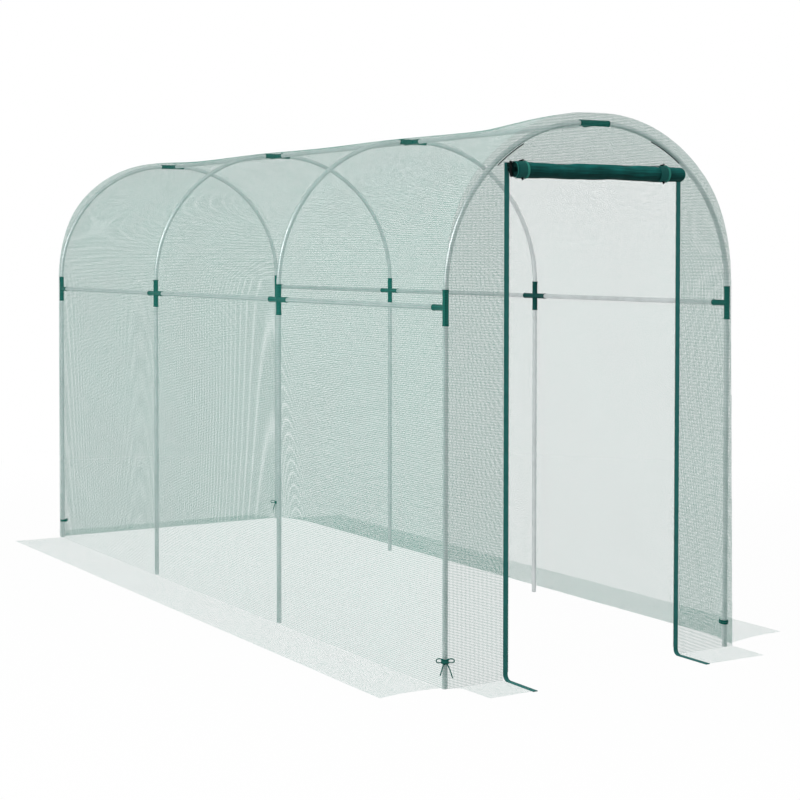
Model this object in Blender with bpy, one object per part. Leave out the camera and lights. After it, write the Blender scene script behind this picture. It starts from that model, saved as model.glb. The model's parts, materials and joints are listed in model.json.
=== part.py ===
"""Walk-in fruit cage: steel hoops and rails in moulded sockets, under a fitted net with a roll-up door.

Metres, +Z up. +Y runs from the door end to the back, and hoop 1 is the one at the door. The origin lies on
the ground under the middle of the cage. Left is -X, as seen by someone who walks in at the door.
"""

import math

import bmesh
import bpy
from mathutils import Vector
from mathutils.geometry import delaunay_2d_cdt

# Clearances
GAP = 0.0003  # between pieces that touch
OVERRUN = 0.002  # how far a cutter runs past the face that it opens

# Hoops
HOOPS = 4
BAY = 1.190  # hoop to hoop
FRAME_WIDTH = 1.212  # post centre to post centre
RAIL_HEIGHT = 1.255  # centre of the side sockets above the ground
SPRING_RISE = 0.049  # straight stretch of an arch above its side socket's centre
CROWN_STRAIGHT = 0.030  # straight stretch of an arch beside the crown
TUBE_DIAMETER = 0.018
TUBE_WALL = 0.001
ROUND_SIDES = 8
ARCH_STEPS = 10

# Moulded sockets
SOCKET_WALL = 0.0012
SOCKET_WEB = 0.003  # the solid middle that tubes butt against
POST_SLEEVE_HALF = 0.060
RAIL_STUB_REACH = 0.073  # from the post's centre line to the stub's mouth
CROWN_SLEEVE_HALF = 0.062
RIDGE_STUB_REACH = 0.055

# Net cover
NET_THICKNESS = 0.0015
NET_BAR = 0.005
NET_HEM = 0.012
NET_MESH = 0.300  # one opening of the simplified net, bar centre to bar centre
SMALLEST_OPENING = 0.020  # an opening with less area than a square of this side is left closed
WALL_LEAN = 0.0382  # how much further out a side wall is at the ground than at the rail
HUMP_RISE = 0.025  # how far the roof stands off the door hoop
HUMP_LENGTH = 0.600
HUMP_ANGLE = math.radians(40)  # angle above the spring line at which the hump is full

# Ground skirts
SKIRT_SEAT = 0.004  # how far a skirt reaches under the wall that it is sewn to
SIDE_SKIRT_WIDTH = 0.245  # from the fold at the foot of its wall
SIDE_SKIRT_SETBACK = 0.025  # of its ends, from the end hoops
END_SKIRT_WIDTH = 0.1727
END_SKIRT_SETBACK = 0.013  # of its ends, from the posts

# Doorway
DOOR_HALF_WIDTH = 0.362
DOOR_HEAD_DROP = 0.160  # from the middle of the crown tube down to the top of the doorway
TAPE_WIDTH = 0.016
TAPE_THICKNESS = 0.003
TAPE_BEND_RADIUS = 0.020
TAPE_BEND_STEPS = 4

# Rolled door
ROLL_RADIUS = 0.0275
ROLL_SHEET = 0.0025
ROLL_PITCH = 0.0034
ROLL_TURNS = 6
ROLL_STEPS = 16  # to a turn
ROLL_SIDE_CLEARANCE = 0.0045
ROLL_SHIFT = 0.008  # it is rolled a little to the left of the doorway
ROLL_RISE = 0.002  # how far its top stands above the head tape
CURTAIN_THICKNESS = 0.001
CURTAIN_SIDE_CLEARANCE = 0.003

# Roll straps
STRAP_WIDTH = 0.035
STRAP_THICKNESS = 0.0012
STRAP_INSETS = {"left": 0.025, "right": 0.089}  # from the roll's end to the strap's middle
STRAP_ROLL_STEPS = (3, 12)  # the steps of the roll's outer turn between which a strap lies on it
STRAP_LANDING = 0.008
TOGGLE_RADIUS = 0.003
TOGGLE_OVERHANG = 0.003

# Zip sliders
SLIDER_WIDTH = 0.008
SLIDER_WAIST = 0.006
SLIDER_HEIGHT = 0.014
SLIDER_DEPTH = 0.004
SLIDER_DROP = 0.004  # from the top of the head tape down to the slider
PULL_WIDTH = 0.005
PULL_LENGTH = 0.024
PULL_THICKNESS = 0.0015
PULL_SINK = 0.0005

# Post ties
TIE_HEIGHT = 0.093
TIE_BAND = 0.018
TIE_THICKNESS = 0.0012
TIE_STEPS = 10
KNOT_SIZE = 0.009
BOW_REACH = 0.031
BOW_HALF_HEIGHT = 0.008
BOW_BAND = 0.005
BOW_STEPS = 8
TAIL_DROP = 0.045
TAIL_SPREAD = 0.012

# Sizes that follow
TUBE_RADIUS = TUBE_DIAMETER / 2
BORE_RADIUS = TUBE_RADIUS + GAP
SLEEVE_RADIUS = BORE_RADIUS + SOCKET_WALL
WEB_HALF = SOCKET_WEB / 2
TUBE_START = WEB_HALF + GAP  # from a socket's centre to the end of a tube on its main axis
STUB_FLOOR = SLEEVE_RADIUS + WEB_HALF  # from a socket's centre to the bottom of a side stub
POST_X = FRAME_WIDTH / 2
ARCH_RADIUS = POST_X - CROWN_STRAIGHT
SPRING_Z = RAIL_HEIGHT + SPRING_RISE
CROWN_Z = SPRING_Z + ARCH_RADIUS
FRAME_HALF_LENGTH = BAY * (HOOPS - 1) / 2
NET_OFFSET = SLEEVE_RADIUS + GAP  # from a tube's centre line to the inner face of the net on it
NET_X = POST_X + NET_OFFSET
END_FACE = FRAME_HALF_LENGTH + NET_OFFSET  # inner face of an end wall
END_OUTER = END_FACE + NET_THICKNESS
NET_FOOT = NET_THICKNESS + GAP  # a wall stands on its skirt
FOLD_HALF_WIDTH = NET_X + WALL_LEAN  # where the side walls meet the ground
SIDE_SKIRT_HALF_WIDTH = FOLD_HALF_WIDTH + SIDE_SKIRT_WIDTH
SIDE_SKIRT_HALF_LENGTH = FRAME_HALF_LENGTH - SIDE_SKIRT_SETBACK
END_SKIRT_HALF_WIDTH = POST_X - END_SKIRT_SETBACK
END_SKIRT_HALF_LENGTH = END_OUTER + END_SKIRT_WIDTH
DOOR_HEIGHT = CROWN_Z - DOOR_HEAD_DROP
TAPE_TOP = DOOR_HEIGHT + TAPE_WIDTH
JAMB_X = DOOR_HALF_WIDTH + TAPE_WIDTH + GAP  # where the front net begins beside the tape
TAPE_FRONT = -(END_FACE + TAPE_THICKNESS)
CURTAIN_Y = TAPE_FRONT - GAP - CURTAIN_THICKNESS / 2
ROLL_Y = CURTAIN_Y - CURTAIN_THICKNESS / 2 - GAP - ROLL_RADIUS
ROLL_Z = TAPE_TOP + ROLL_RISE - ROLL_RADIUS
ROLL_HALF_LENGTH = DOOR_HALF_WIDTH - ROLL_SIDE_CLEARANCE

ALONG_X = Vector((1, 0, 0))
ALONG_Y = Vector((0, 1, 0))
ALONG_Z = Vector((0, 0, 1))
SIDES = {"left": -1, "right": 1}
SMOOTH_ANGLE = math.radians(50)
MERGE = 1e-6


def clear_scene():
    for old in list(bpy.data.objects):
        bpy.data.objects.remove(old)


def material(name, colour, roughness, metallic=0.0):
    """A plain Principled finish, with the colour in linear light."""
    made = bpy.data.materials.new(name)
    made.use_nodes = True
    shader = made.node_tree.nodes["Principled BSDF"]
    shader.inputs["Base Color"].default_value = (*colour, 1)
    shader.inputs["Roughness"].default_value = roughness
    shader.inputs["Metallic"].default_value = metallic
    made.diffuse_color = (*colour, 1)
    return made


def place(name, mesh, finish, location=(0, 0, 0), turned=False):
    """One named piece. A turned one faces the other way, half a turn about the vertical."""
    if not mesh.materials:
        mesh.materials.append(finish)
    piece = bpy.data.objects.new(name, mesh)
    piece.location = location
    piece.rotation_euler = (0, 0, math.pi if turned else 0)
    bpy.context.scene.collection.objects.link(piece)
    return piece


def mesh_of(shape, name):
    bmesh.ops.recalc_face_normals(shape, faces=shape.faces)
    mesh = bpy.data.meshes.new(name)
    shape.to_mesh(mesh)
    shape.free()
    mesh.shade_smooth()
    mesh.set_sharp_from_angle(angle=SMOOTH_ANGLE)
    return mesh


def built_up(first, steps):
    """The first mesh after each Boolean step, given as (operation, mesh)."""
    body = bpy.data.objects.new(first.name, first)
    helpers = [body]
    for operation, mesh in steps:
        helper = bpy.data.objects.new(mesh.name, mesh)
        helpers.append(helper)
        boolean = body.modifiers.new(operation.title(), "BOOLEAN")
        boolean.operation = operation
        boolean.object = helper
    for helper in helpers:
        bpy.context.scene.collection.objects.link(helper)
    graph = bpy.context.evaluated_depsgraph_get()
    result = bpy.data.meshes.new_from_object(body.evaluated_get(graph), depsgraph=graph)
    for helper in helpers:
        bpy.data.objects.remove(helper)
    result.shade_smooth()
    result.set_sharp_from_angle(angle=SMOOTH_ANGLE)
    return result


def smooth(share):
    share = min(max(share, 0.0), 1.0)
    return share * share * (3 - 2 * share)


def corner_radius(radius, sides=ROUND_SIDES):
    """From the centre of a many-sided round to its corners, where its flats lie at radius."""
    return radius / math.cos(math.pi / sides)


def circle(radius):
    """A round section, with flats that face along and across."""
    turn = 2 * math.pi / ROUND_SIDES
    angles = [turn * (step + 0.5) for step in range(ROUND_SIDES)]
    corner = corner_radius(radius)
    return [(corner * math.cos(angle), corner * math.sin(angle)) for angle in angles]


def rectangle(width, thickness):
    a, b = width / 2, thickness / 2
    return [(-a, -b), (a, -b), (a, b), (-a, b)]


def swept_rings(path, across, section, closed=False):
    """The section carried along a flat path, mitred at its corners. `across` is square to its plane."""
    rings = []
    for index, point in enumerate(path):
        arriving = (point - path[index - 1]).normalized()
        leaving = (path[(index + 1) % len(path)] - point).normalized()
        if not closed and index == 0:
            arriving = leaving
        if not closed and index == len(path) - 1:
            leaving = arriving
        ahead = (arriving + leaving).normalized()
        inward = across.cross(ahead) / ahead.dot(leaving)
        rings.append([point + across * a + inward * b for a, b in section])
    return rings


def add_skin(shape, rings, closed=False):
    """Faces from ring to ring. It returns the rings as vertices."""
    made = [[shape.verts.new(point) for point in ring] for ring in rings]
    following = made[1:] + made[:1] if closed else made[1:]
    for ring, after in zip(made, following):
        for side in range(len(ring)):
            beside = (side + 1) % len(ring)
            shape.faces.new((ring[side], ring[beside], after[beside], after[side]))
    return made


def add_rod(shape, path, across, section, closed=False):
    """A solid bar, tape or ring."""
    made = add_skin(shape, swept_rings(path, across, section, closed), closed)
    if not closed:
        shape.faces.new(made[0])
        shape.faces.new(made[-1])


def add_pipe(shape, path, across, outer_radius, inner_radius):
    """A tube with open ends."""
    outer = add_skin(shape, swept_rings(path, across, circle(outer_radius)))
    inner = add_skin(shape, swept_rings(path, across, circle(inner_radius)))
    for end in (0, -1):
        for side in range(ROUND_SIDES):
            beside = (side + 1) % ROUND_SIDES
            corners = (outer[end][side], outer[end][beside], inner[end][beside], inner[end][side])
            shape.faces.new(corners)


def rod_mesh(name, path, across, section, closed=False):
    shape = bmesh.new()
    add_rod(shape, path, across, section, closed)
    return mesh_of(shape, name)


def tube_mesh(name, path, across):
    shape = bmesh.new()
    add_pipe(shape, path, across, TUBE_RADIUS, TUBE_RADIUS - TUBE_WALL)
    return mesh_of(shape, name)


def quarter_line(offset=0.0, rise=0.0):
    """The bend of an arch on the right, going up, moved out by offset and by the hump's rise.

    Its points lie where tangents meet, so the tube runs straight inside both sockets.
    """
    step = math.pi / 2 / ARCH_STEPS
    line = []
    for index in range(ARCH_STEPS):
        angle = step * (index + 0.5)
        radius = (ARCH_RADIUS + offset + rise * smooth(angle / HUMP_ANGLE)) / math.cos(step / 2)
        across, up = radius * math.cos(angle), radius * math.sin(angle)
        line.append(Vector((CROWN_STRAIGHT + across, 0, SPRING_Z + up)))
    return line


def leg_mesh():
    top = RAIL_HEIGHT - TUBE_START
    return tube_mesh("leg", [Vector(), ALONG_Z * top], ALONG_Y)


def arch_mesh():
    start = Vector((POST_X, 0, RAIL_HEIGHT + TUBE_START))
    end = Vector((TUBE_START, 0, CROWN_Z))
    return tube_mesh("arch", [start, *quarter_line(), end], ALONG_Y)


def spacer_mesh(name):
    """A tube along Y between two hoops, centred on its origin."""
    reach = BAY / 2 - STUB_FLOOR - GAP
    return tube_mesh(name, [ALONG_Y * -reach, ALONG_Y * reach], ALONG_X)


def socket_mesh(name, main, sleeve_half, stub_reach, stub_directions):
    """A moulded socket with its sleeve along main, its stubs along Y, and a blind bore in each arm."""
    sleeve = rod_mesh(name, [main * -sleeve_half, main * sleeve_half], ALONG_Y, circle(SLEEVE_RADIUS))
    steps = []
    for direction in stub_directions:
        stub = [Vector(), ALONG_Y * direction * stub_reach]
        steps.append(("UNION", rod_mesh("stub", stub, ALONG_X, circle(SLEEVE_RADIUS))))
    bores = bmesh.new()
    for direction in (-1, 1):
        bore = [main * direction * WEB_HALF, main * direction * (sleeve_half + OVERRUN)]
        add_rod(bores, bore, ALONG_Y, circle(BORE_RADIUS))
    for direction in stub_directions:
        bore = [ALONG_Y * direction * STUB_FLOOR, ALONG_Y * direction * (stub_reach + OVERRUN)]
        add_rod(bores, bore, ALONG_X, circle(BORE_RADIUS))
    steps.append(("DIFFERENCE", mesh_of(bores, "bores")))
    return built_up(sleeve, steps)


def hoop_y(hoop):
    return BAY * hoop - FRAME_HALF_LENGTH


def add_frame(steel):
    leg, arch = leg_mesh(), arch_mesh()
    for hoop in range(HOOPS):
        for side, sign in SIDES.items():
            foot = (sign * POST_X, hoop_y(hoop), 0)
            place(f"leg_{hoop + 1}_{side}", leg, steel, foot)
            place(f"arch_{hoop + 1}_{side}", arch, steel, (0, hoop_y(hoop), 0), turned=sign < 0)
    spacer = spacer_mesh("spacer")
    for bay in range(HOOPS - 1):
        middle = hoop_y(bay) + BAY / 2
        place(f"ridge_tube_{bay + 1}", spacer, steel, (0, middle, CROWN_Z))
        for side, sign in SIDES.items():
            place(f"rail_{side}_{bay + 1}", spacer, steel, (sign * POST_X, middle, RAIL_HEIGHT))


def add_sockets(plastic):
    """Crosses on the inner hoops and tees, with one stub, on the two end ones."""
    arms = {
        "side": (ALONG_Z, POST_SLEEVE_HALF, RAIL_STUB_REACH),
        "crown": (ALONG_X, CROWN_SLEEVE_HALF, RIDGE_STUB_REACH),
    }
    crosses = {where: socket_mesh(f"{where}_cross", *sizes, (-1, 1)) for where, sizes in arms.items()}
    tees = {where: socket_mesh(f"{where}_tee", *sizes, (1,)) for where, sizes in arms.items()}
    for hoop in range(HOOPS):
        at_end = hoop in (0, HOOPS - 1)
        last = hoop == HOOPS - 1
        kind = tees if at_end else crosses
        crown = (0, hoop_y(hoop), CROWN_Z)
        place(f"crown_connector_{hoop + 1}", kind["crown"], plastic, crown, turned=last)
        for side, sign in SIDES.items():
            centre = (sign * POST_X, hoop_y(hoop), RAIL_HEIGHT)
            place(f"side_connector_{hoop + 1}_{side}", kind["side"], plastic, centre, turned=last)


def clipped(polygon, normal, limit):
    """The part of a flat polygon on which a point's dot product with normal is at most limit."""
    kept = []
    for here, there in zip(polygon, polygon[1:] + polygon[:1]):
        depth, depth_there = here.dot(normal) - limit, there.dot(normal) - limit
        if depth <= 0:
            kept.append(here)
        if depth * depth_there < 0:
            kept.append(here.lerp(there, depth / (depth - depth_there)))
    return kept


def area_of(polygon):
    corners = zip(polygon, polygon[1:] + polygon[:1])
    return sum(here.cross(there) for here, there in corners) / 2


def rectangle_between(low, high):
    return [Vector(low), Vector((high[0], low[1])), Vector(high), Vector((low[0], high[1]))]


def openings_in(outline):
    """The openings of a flat net: a grid over the outline's box, drawn in by half a bar and by the hem."""
    low = [min(point[axis] for point in outline) for axis in (0, 1)]
    spans = [max(point[axis] for point in outline) - low[axis] for axis in (0, 1)]
    columns, rows = [max(1, round(span / NET_MESH)) for span in spans]
    cell = (spans[0] / columns, spans[1] / rows)
    openings = []
    for column in range(columns):
        for row in range(rows):
            corner = Vector((low[0] + cell[0] * column, low[1] + cell[1] * row))
            bar = Vector((NET_BAR, NET_BAR)) / 2
            opening = rectangle_between(corner + bar, corner + Vector(cell) - bar)
            for here, there in zip(outline, outline[1:] + outline[:1]):
                starts_below = min(here.y, there.y) < corner.y + cell[1] + MERGE
                ends_above = max(here.y, there.y) > corner.y - MERGE
                if starts_below and ends_above:
                    outward = Vector((there.y - here.y, here.x - there.x)).normalized()
                    opening = clipped(opening, outward, here.dot(outward) - NET_HEM)
            if len(opening) > 2 and area_of(opening) > SMALLEST_OPENING * SMALLEST_OPENING:
                openings.append(opening)
    return openings


def inside(point, polygon):
    """Whether a point lies in a convex polygon with its corners in anticlockwise order."""
    corners = zip(polygon, polygon[1:] + polygon[:1])
    return all((there - here).cross(point - here) > 0 for here, there in corners)


def net_mesh(name, outline, openings, placed):
    """A closed net. placed(u, v, face) puts a flat point on the inner face, 0, or on the outer one, 1."""
    points, edges = [], []
    for loop in (outline, *openings):
        first, count = len(points), len(loop)
        edges += [(first + step, first + (step + 1) % count) for step in range(count)]
        points += loop
    flat, _, triangles, *_ = delaunay_2d_cdt(points, edges, [], 1, MERGE)
    cloth = []
    for triangle in triangles:
        centre = sum((flat[corner] for corner in triangle), Vector((0, 0))) / len(triangle)
        if not any(inside(centre, opening) for opening in openings):
            cloth.append(triangle)
    sides = {(a, b) for corners in cloth for a, b in zip(corners, corners[1:] + corners[:1])}
    shape = bmesh.new()
    inner, outer = ([shape.verts.new(placed(*point, face)) for point in flat] for face in (0, 1))
    for corners in cloth:
        shape.faces.new([inner[corner] for corner in corners])
        shape.faces.new([outer[corner] for corner in reversed(corners)])
    for a, b in sides:
        if (b, a) not in sides:
            shape.faces.new((inner[b], inner[a], outer[a], outer[b]))
    return mesh_of(shape, name)


def flat_net_mesh(name, outline, placed):
    return net_mesh(name, outline, openings_in(outline), placed)


def wall_x(z):
    """The inner face of a side wall, which leans out from the rail to its fold on the ground."""
    return FOLD_HALF_WIDTH + (NET_X - FOLD_HALF_WIDTH) * z / RAIL_HEIGHT


def hump_at(y):
    return HUMP_RISE * smooth(1 - (y + END_OUTER) / HUMP_LENGTH)


def roof_line(y, offset):
    """The roof's section at y, from the left rail over the crown to the right one."""
    foot = Vector((POST_X + offset, 0, RAIL_HEIGHT + GAP))
    right = [foot, *quarter_line(offset, hump_at(y))]
    left = [Vector((-point.x, 0, point.z)) for point in right]
    return left + right[::-1]


def roof_mesh():
    """One curved net. Its section is measured in steps of the roof line, each taken as one arch step long."""
    step_length = ARCH_RADIUS * math.pi / 2 / ARCH_STEPS
    last = len(roof_line(0, 0)) - 1

    def placed(u, v, face):
        line = roof_line(v, NET_OFFSET + NET_THICKNESS * face)
        station = min(int(u / step_length), last - 1)
        point = line[station].lerp(line[station + 1], u / step_length - station)
        return Vector((point.x, v, point.z))

    def strip(low, high):
        """A rectangle with a point wherever the roof line has one."""
        first, final = (round(edge[0] / step_length) for edge in (low, high))
        between = [step_length * step for step in range(first - 1, final + 2)]
        between = [u for u in between if low[0] + NET_BAR / 2 < u < high[0] - NET_BAR / 2]
        us = [low[0], *between, high[0]]
        return [Vector((u, low[1])) for u in us] + [Vector((u, high[1])) for u in reversed(us)]

    width = last * step_length
    length = 2 * END_OUTER
    around, along = round(width / NET_MESH), round(length / NET_MESH)
    openings = []
    for column in range(around):
        for row in range(along):
            low_u = max(width * column / around + NET_BAR / 2, NET_HEM)
            high_u = min(width * (column + 1) / around - NET_BAR / 2, width - NET_HEM)
            low_v = max(length * row / along + NET_BAR / 2, NET_HEM) - END_OUTER
            high_v = min(length * (row + 1) / along - NET_BAR / 2, length - NET_HEM) - END_OUTER
            openings.append(strip((low_u, low_v), (high_u, high_v)))
    return net_mesh("roof_net", strip((0, -END_OUTER), (width, END_OUTER)), openings, placed)


def end_outline(y):
    """The outline of an end wall, just inside the roof and the side walls."""
    top = [Vector((point.x, point.z)) for point in roof_line(y, NET_OFFSET - GAP)]
    foot_x = wall_x(0) - GAP
    return [Vector((-foot_x, NET_FOOT)), Vector((foot_x, NET_FOOT)), *reversed(top)]


def add_end_walls(netting):
    """The door end in three pieces round the doorway, and the back in one."""
    front = end_outline(-END_OUTER)

    def at_front(x, z, face):
        return Vector((x, -(END_FACE + NET_THICKNESS * face), z))

    def at_back(x, z, face):
        return Vector((x, END_FACE + NET_THICKNESS * face, z))

    for side, sign in SIDES.items():
        outline = clipped(front, Vector((-sign, 0)), -JAMB_X)
        place(f"front_net_{side}", flat_net_mesh("front_net", outline, at_front), netting)
    header = clipped(front, Vector((0, -1)), -(TAPE_TOP + GAP))
    for sign in SIDES.values():
        header = clipped(header, Vector((sign, 0)), JAMB_X - GAP)
    place("front_net_top", flat_net_mesh("front_net_top", header, at_front), netting)
    place("back_net", flat_net_mesh("back_net", end_outline(END_OUTER), at_back), netting)


def add_side_walls(netting):
    def at_side(y, z, face):
        return Vector((wall_x(z) + NET_THICKNESS * face, y, z))

    outline = rectangle_between((-END_OUTER, NET_FOOT), (END_OUTER, RAIL_HEIGHT))
    wall = flat_net_mesh("side_net", outline, at_side)
    for side, sign in SIDES.items():
        place(f"side_net_{side}", wall, netting, turned=sign < 0)


def add_skirts(netting):
    """Flaps of net on the ground, sewn to the feet of the walls."""

    def on_ground(x, y, face):
        return Vector((x, y, NET_THICKNESS * face))

    side_low = (FOLD_HALF_WIDTH - SKIRT_SEAT, -SIDE_SKIRT_HALF_LENGTH)
    side_outline = rectangle_between(side_low, (SIDE_SKIRT_HALF_WIDTH, SIDE_SKIRT_HALF_LENGTH))
    side_skirt = flat_net_mesh("side_skirt", side_outline, on_ground)
    for side, sign in SIDES.items():
        place(f"skirt_{side}", side_skirt, netting, turned=sign < 0)
    back_low = (-END_SKIRT_HALF_WIDTH, END_OUTER - SKIRT_SEAT)
    back_outline = rectangle_between(back_low, (END_SKIRT_HALF_WIDTH, END_SKIRT_HALF_LENGTH))
    place("skirt_back", flat_net_mesh("skirt_back", back_outline, on_ground), netting)
    for side, sign in SIDES.items():
        across = sorted((sign * JAMB_X, sign * END_SKIRT_HALF_WIDTH))
        outline = rectangle_between((across[0], -END_SKIRT_HALF_LENGTH), (across[1], SKIRT_SEAT - END_OUTER))
        place(f"skirt_front_{side}", flat_net_mesh("skirt_front", outline, on_ground), netting)


def tape_line():
    """One door tape seen from its edge: along the ground, round the fold and up to the head."""
    tape_y = TAPE_FRONT + TAPE_THICKNESS / 2
    ground_z = TAPE_THICKNESS / 2
    line = [Vector((0, -END_SKIRT_HALF_LENGTH, ground_z))]
    for step in range(TAPE_BEND_STEPS + 1):
        angle = math.pi / 2 * step / TAPE_BEND_STEPS
        back = TAPE_BEND_RADIUS * (1 - math.sin(angle))
        up = TAPE_BEND_RADIUS * (1 - math.cos(angle))
        line.append(Vector((0, tape_y - back, ground_z + up)))
    line.append(Vector((0, tape_y, TAPE_TOP)))
    return line


def add_binding(tape):
    """The bound edge of the doorway: two upright tapes with feet along the skirt, joined by the head tape."""
    upright_x = DOOR_HALF_WIDTH + TAPE_WIDTH / 2
    section = rectangle(TAPE_WIDTH, TAPE_THICKNESS)
    lines = [[point + ALONG_X * sign * upright_x for point in tape_line()] for sign in SIDES.values()]
    left, right = (rod_mesh("upright_tape", line, ALONG_X, section) for line in lines)
    head_centre = Vector((0, TAPE_FRONT + TAPE_THICKNESS / 2, DOOR_HEIGHT + TAPE_WIDTH / 2))
    ends = [head_centre + ALONG_X * sign * upright_x for sign in SIDES.values()]
    head = rod_mesh("head_tape", ends, ALONG_Z, rectangle(TAPE_WIDTH, TAPE_THICKNESS))
    place("door_binding", built_up(left, [("UNION", head), ("UNION", right)]), tape)


def roll_point(angle, radius):
    """A point at an angle from the roll's back face, turning down and under."""
    return Vector((0, ROLL_Y + radius * math.cos(angle), ROLL_Z - radius * math.sin(angle)))


def roll_radius(angle):
    """The outer face of the rolled net: it spirals in by one pitch a turn."""
    return ROLL_RADIUS - ROLL_PITCH * angle / (2 * math.pi)


def add_roll(netting):
    steps = ROLL_TURNS * ROLL_STEPS
    angles = [2 * math.pi * step / ROLL_STEPS for step in range(steps + 1)]
    path = [roll_point(angle, roll_radius(angle) - ROLL_SHEET / 2) for angle in angles]
    section = rectangle(2 * ROLL_HALF_LENGTH, ROLL_SHEET)
    roll = rod_mesh("door_roll", path, ALONG_X, section)
    place("door_roll", roll, netting, (-ROLL_SHIFT, 0, 0))
    least = min((path[step] - path[step + ROLL_STEPS]).length for step in range(steps - ROLL_STEPS))
    print(f"least gap between turns of the rolled door: {1000 * (least - ROLL_SHEET):.2f} mm")


def add_curtain(netting):
    """The short stretch of door net from the head tape to the roll."""
    path = [Vector((0, CURTAIN_Y, ROLL_Z)), Vector((0, CURTAIN_Y, TAPE_TOP))]
    width = 2 * (DOOR_HALF_WIDTH - CURTAIN_SIDE_CLEARANCE)
    section = rectangle(width, CURTAIN_THICKNESS)
    place("door_curtain", rod_mesh("door_curtain", path, ALONG_X, section), netting)


def add_straps(webbing):
    """Bands from the header over the front of the roll and back under it, each ending in a toggle."""
    away = GAP + STRAP_THICKNESS / 2
    header_y = -(END_OUTER + away)
    header_z = TAPE_TOP + GAP + STRAP_LANDING
    first, last = STRAP_ROLL_STEPS
    angles = [2 * math.pi * step / ROLL_STEPS for step in range(first, last + 1)]
    wrapped = [roll_point(angle, roll_radius(angle) + away) for angle in angles]
    landing = [Vector((0, header_y, header_z)), Vector((0, header_y, header_z + STRAP_LANDING))]
    section = rectangle(STRAP_WIDTH, STRAP_THICKNESS)
    band = rod_mesh("strap_band", [*wrapped, *landing], ALONG_X, section)
    pin_centre = roll_point(angles[0], roll_radius(angles[0]) + GAP + corner_radius(TOGGLE_RADIUS))
    pin_half = STRAP_WIDTH / 2 + TOGGLE_OVERHANG
    pin_ends = [pin_centre - ALONG_X * pin_half, pin_centre + ALONG_X * pin_half]
    toggle = rod_mesh("strap_toggle", pin_ends, ALONG_Y, circle(TOGGLE_RADIUS))
    strap = built_up(band, [("UNION", toggle)])
    for side, sign in SIDES.items():
        across = sign * (ROLL_HALF_LENGTH - STRAP_INSETS[side]) - ROLL_SHIFT
        place(f"roll_strap_{side}", strap, webbing, (across, 0, 0))


def add_sliders(plastic):
    """Zip sliders on the upright tapes, with their pulls hanging down."""
    front = TAPE_FRONT - GAP
    top = SLIDER_HEIGHT / 2
    shoulders = [(-SLIDER_WIDTH / 2, top), (-SLIDER_WIDTH / 2, 0), (-SLIDER_WAIST / 2, -top)]
    outline = shoulders + [(-x, z) for x, z in reversed(shoulders)]
    body = rod_mesh("slider_body", [Vector(), ALONG_Y * -SLIDER_DEPTH], ALONG_X, outline)
    pull_start = ALONG_Y * (PULL_SINK - SLIDER_DEPTH)
    pull_path = [pull_start, pull_start - ALONG_Y * PULL_THICKNESS]
    pull_tip = PULL_WIDTH / 4
    pull_sides = [(-PULL_WIDTH / 2, 0), (-PULL_WIDTH / 2, pull_tip - PULL_LENGTH), (-pull_tip, -PULL_LENGTH)]
    pull_outline = pull_sides + [(-x, z) for x, z in reversed(pull_sides)]
    pull = rod_mesh("slider_pull", pull_path, ALONG_X, pull_outline)
    slider = built_up(body, [("UNION", pull)])
    for side, sign in SIDES.items():
        centre = (sign * (DOOR_HALF_WIDTH + TAPE_WIDTH / 2), front, TAPE_TOP - SLIDER_DROP - top)
        place(f"zip_slider_{side}", slider, plastic, centre)


def tie_mesh():
    """A tape round the post and through the net, tied in a bow outside, with the post's axis as its own."""
    reach = NET_OFFSET + NET_THICKNESS + GAP
    behind = TUBE_RADIUS + GAP
    radius = (reach + behind + TIE_THICKNESS) / 2
    centre = ALONG_Y * (behind - reach) / 2
    turns = [2 * math.pi * (step + 0.5) / TIE_STEPS for step in range(TIE_STEPS)]
    corner = corner_radius(radius, TIE_STEPS)
    loop = [centre + Vector((corner * math.sin(turn), corner * math.cos(turn), 0)) for turn in turns]
    band = rod_mesh("tie_band", loop, ALONG_Z, rectangle(TIE_BAND, TIE_THICKNESS), closed=True)
    knot_y = -(reach + KNOT_SIZE / 2)
    knot_ends = [ALONG_Y * -reach, ALONG_Y * (knot_y - KNOT_SIZE / 2)]
    steps = [("UNION", rod_mesh("tie_knot", knot_ends, ALONG_X, circle(KNOT_SIZE / 2)))]
    for sign in SIDES.values():
        bow = []
        for step in range(BOW_STEPS):
            turn = 2 * math.pi * step / BOW_STEPS
            out = BOW_REACH * (1 - math.cos(turn)) / 2
            up = BOW_HALF_HEIGHT * math.sin(turn) * (out / BOW_REACH + 1) / 2
            bow.append(Vector((sign * out, knot_y, up)))
        bow_section = rectangle(BOW_BAND, TIE_THICKNESS)
        steps.append(("UNION", rod_mesh("tie_bow", bow, ALONG_Y, bow_section, closed=True)))
        tail = [Vector((0, knot_y, 0))]
        tail.append(Vector((sign * TAIL_SPREAD / 2, knot_y, -TAIL_DROP / 3)))
        tail.append(Vector((sign * TAIL_SPREAD, knot_y, -TAIL_DROP)))
        steps.append(("UNION", rod_mesh("tie_tail", tail, ALONG_Y, bow_section)))
    return built_up(band, steps)


def add_ties(webbing):
    tie = tie_mesh()
    for end, hoop in (("front", 0), ("back", HOOPS - 1)):
        for side, sign in SIDES.items():
            centre = (sign * POST_X, hoop_y(hoop), TIE_HEIGHT)
            place(f"post_tie_{end}_{side}", tie, webbing, centre, turned=end == "back")


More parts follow.
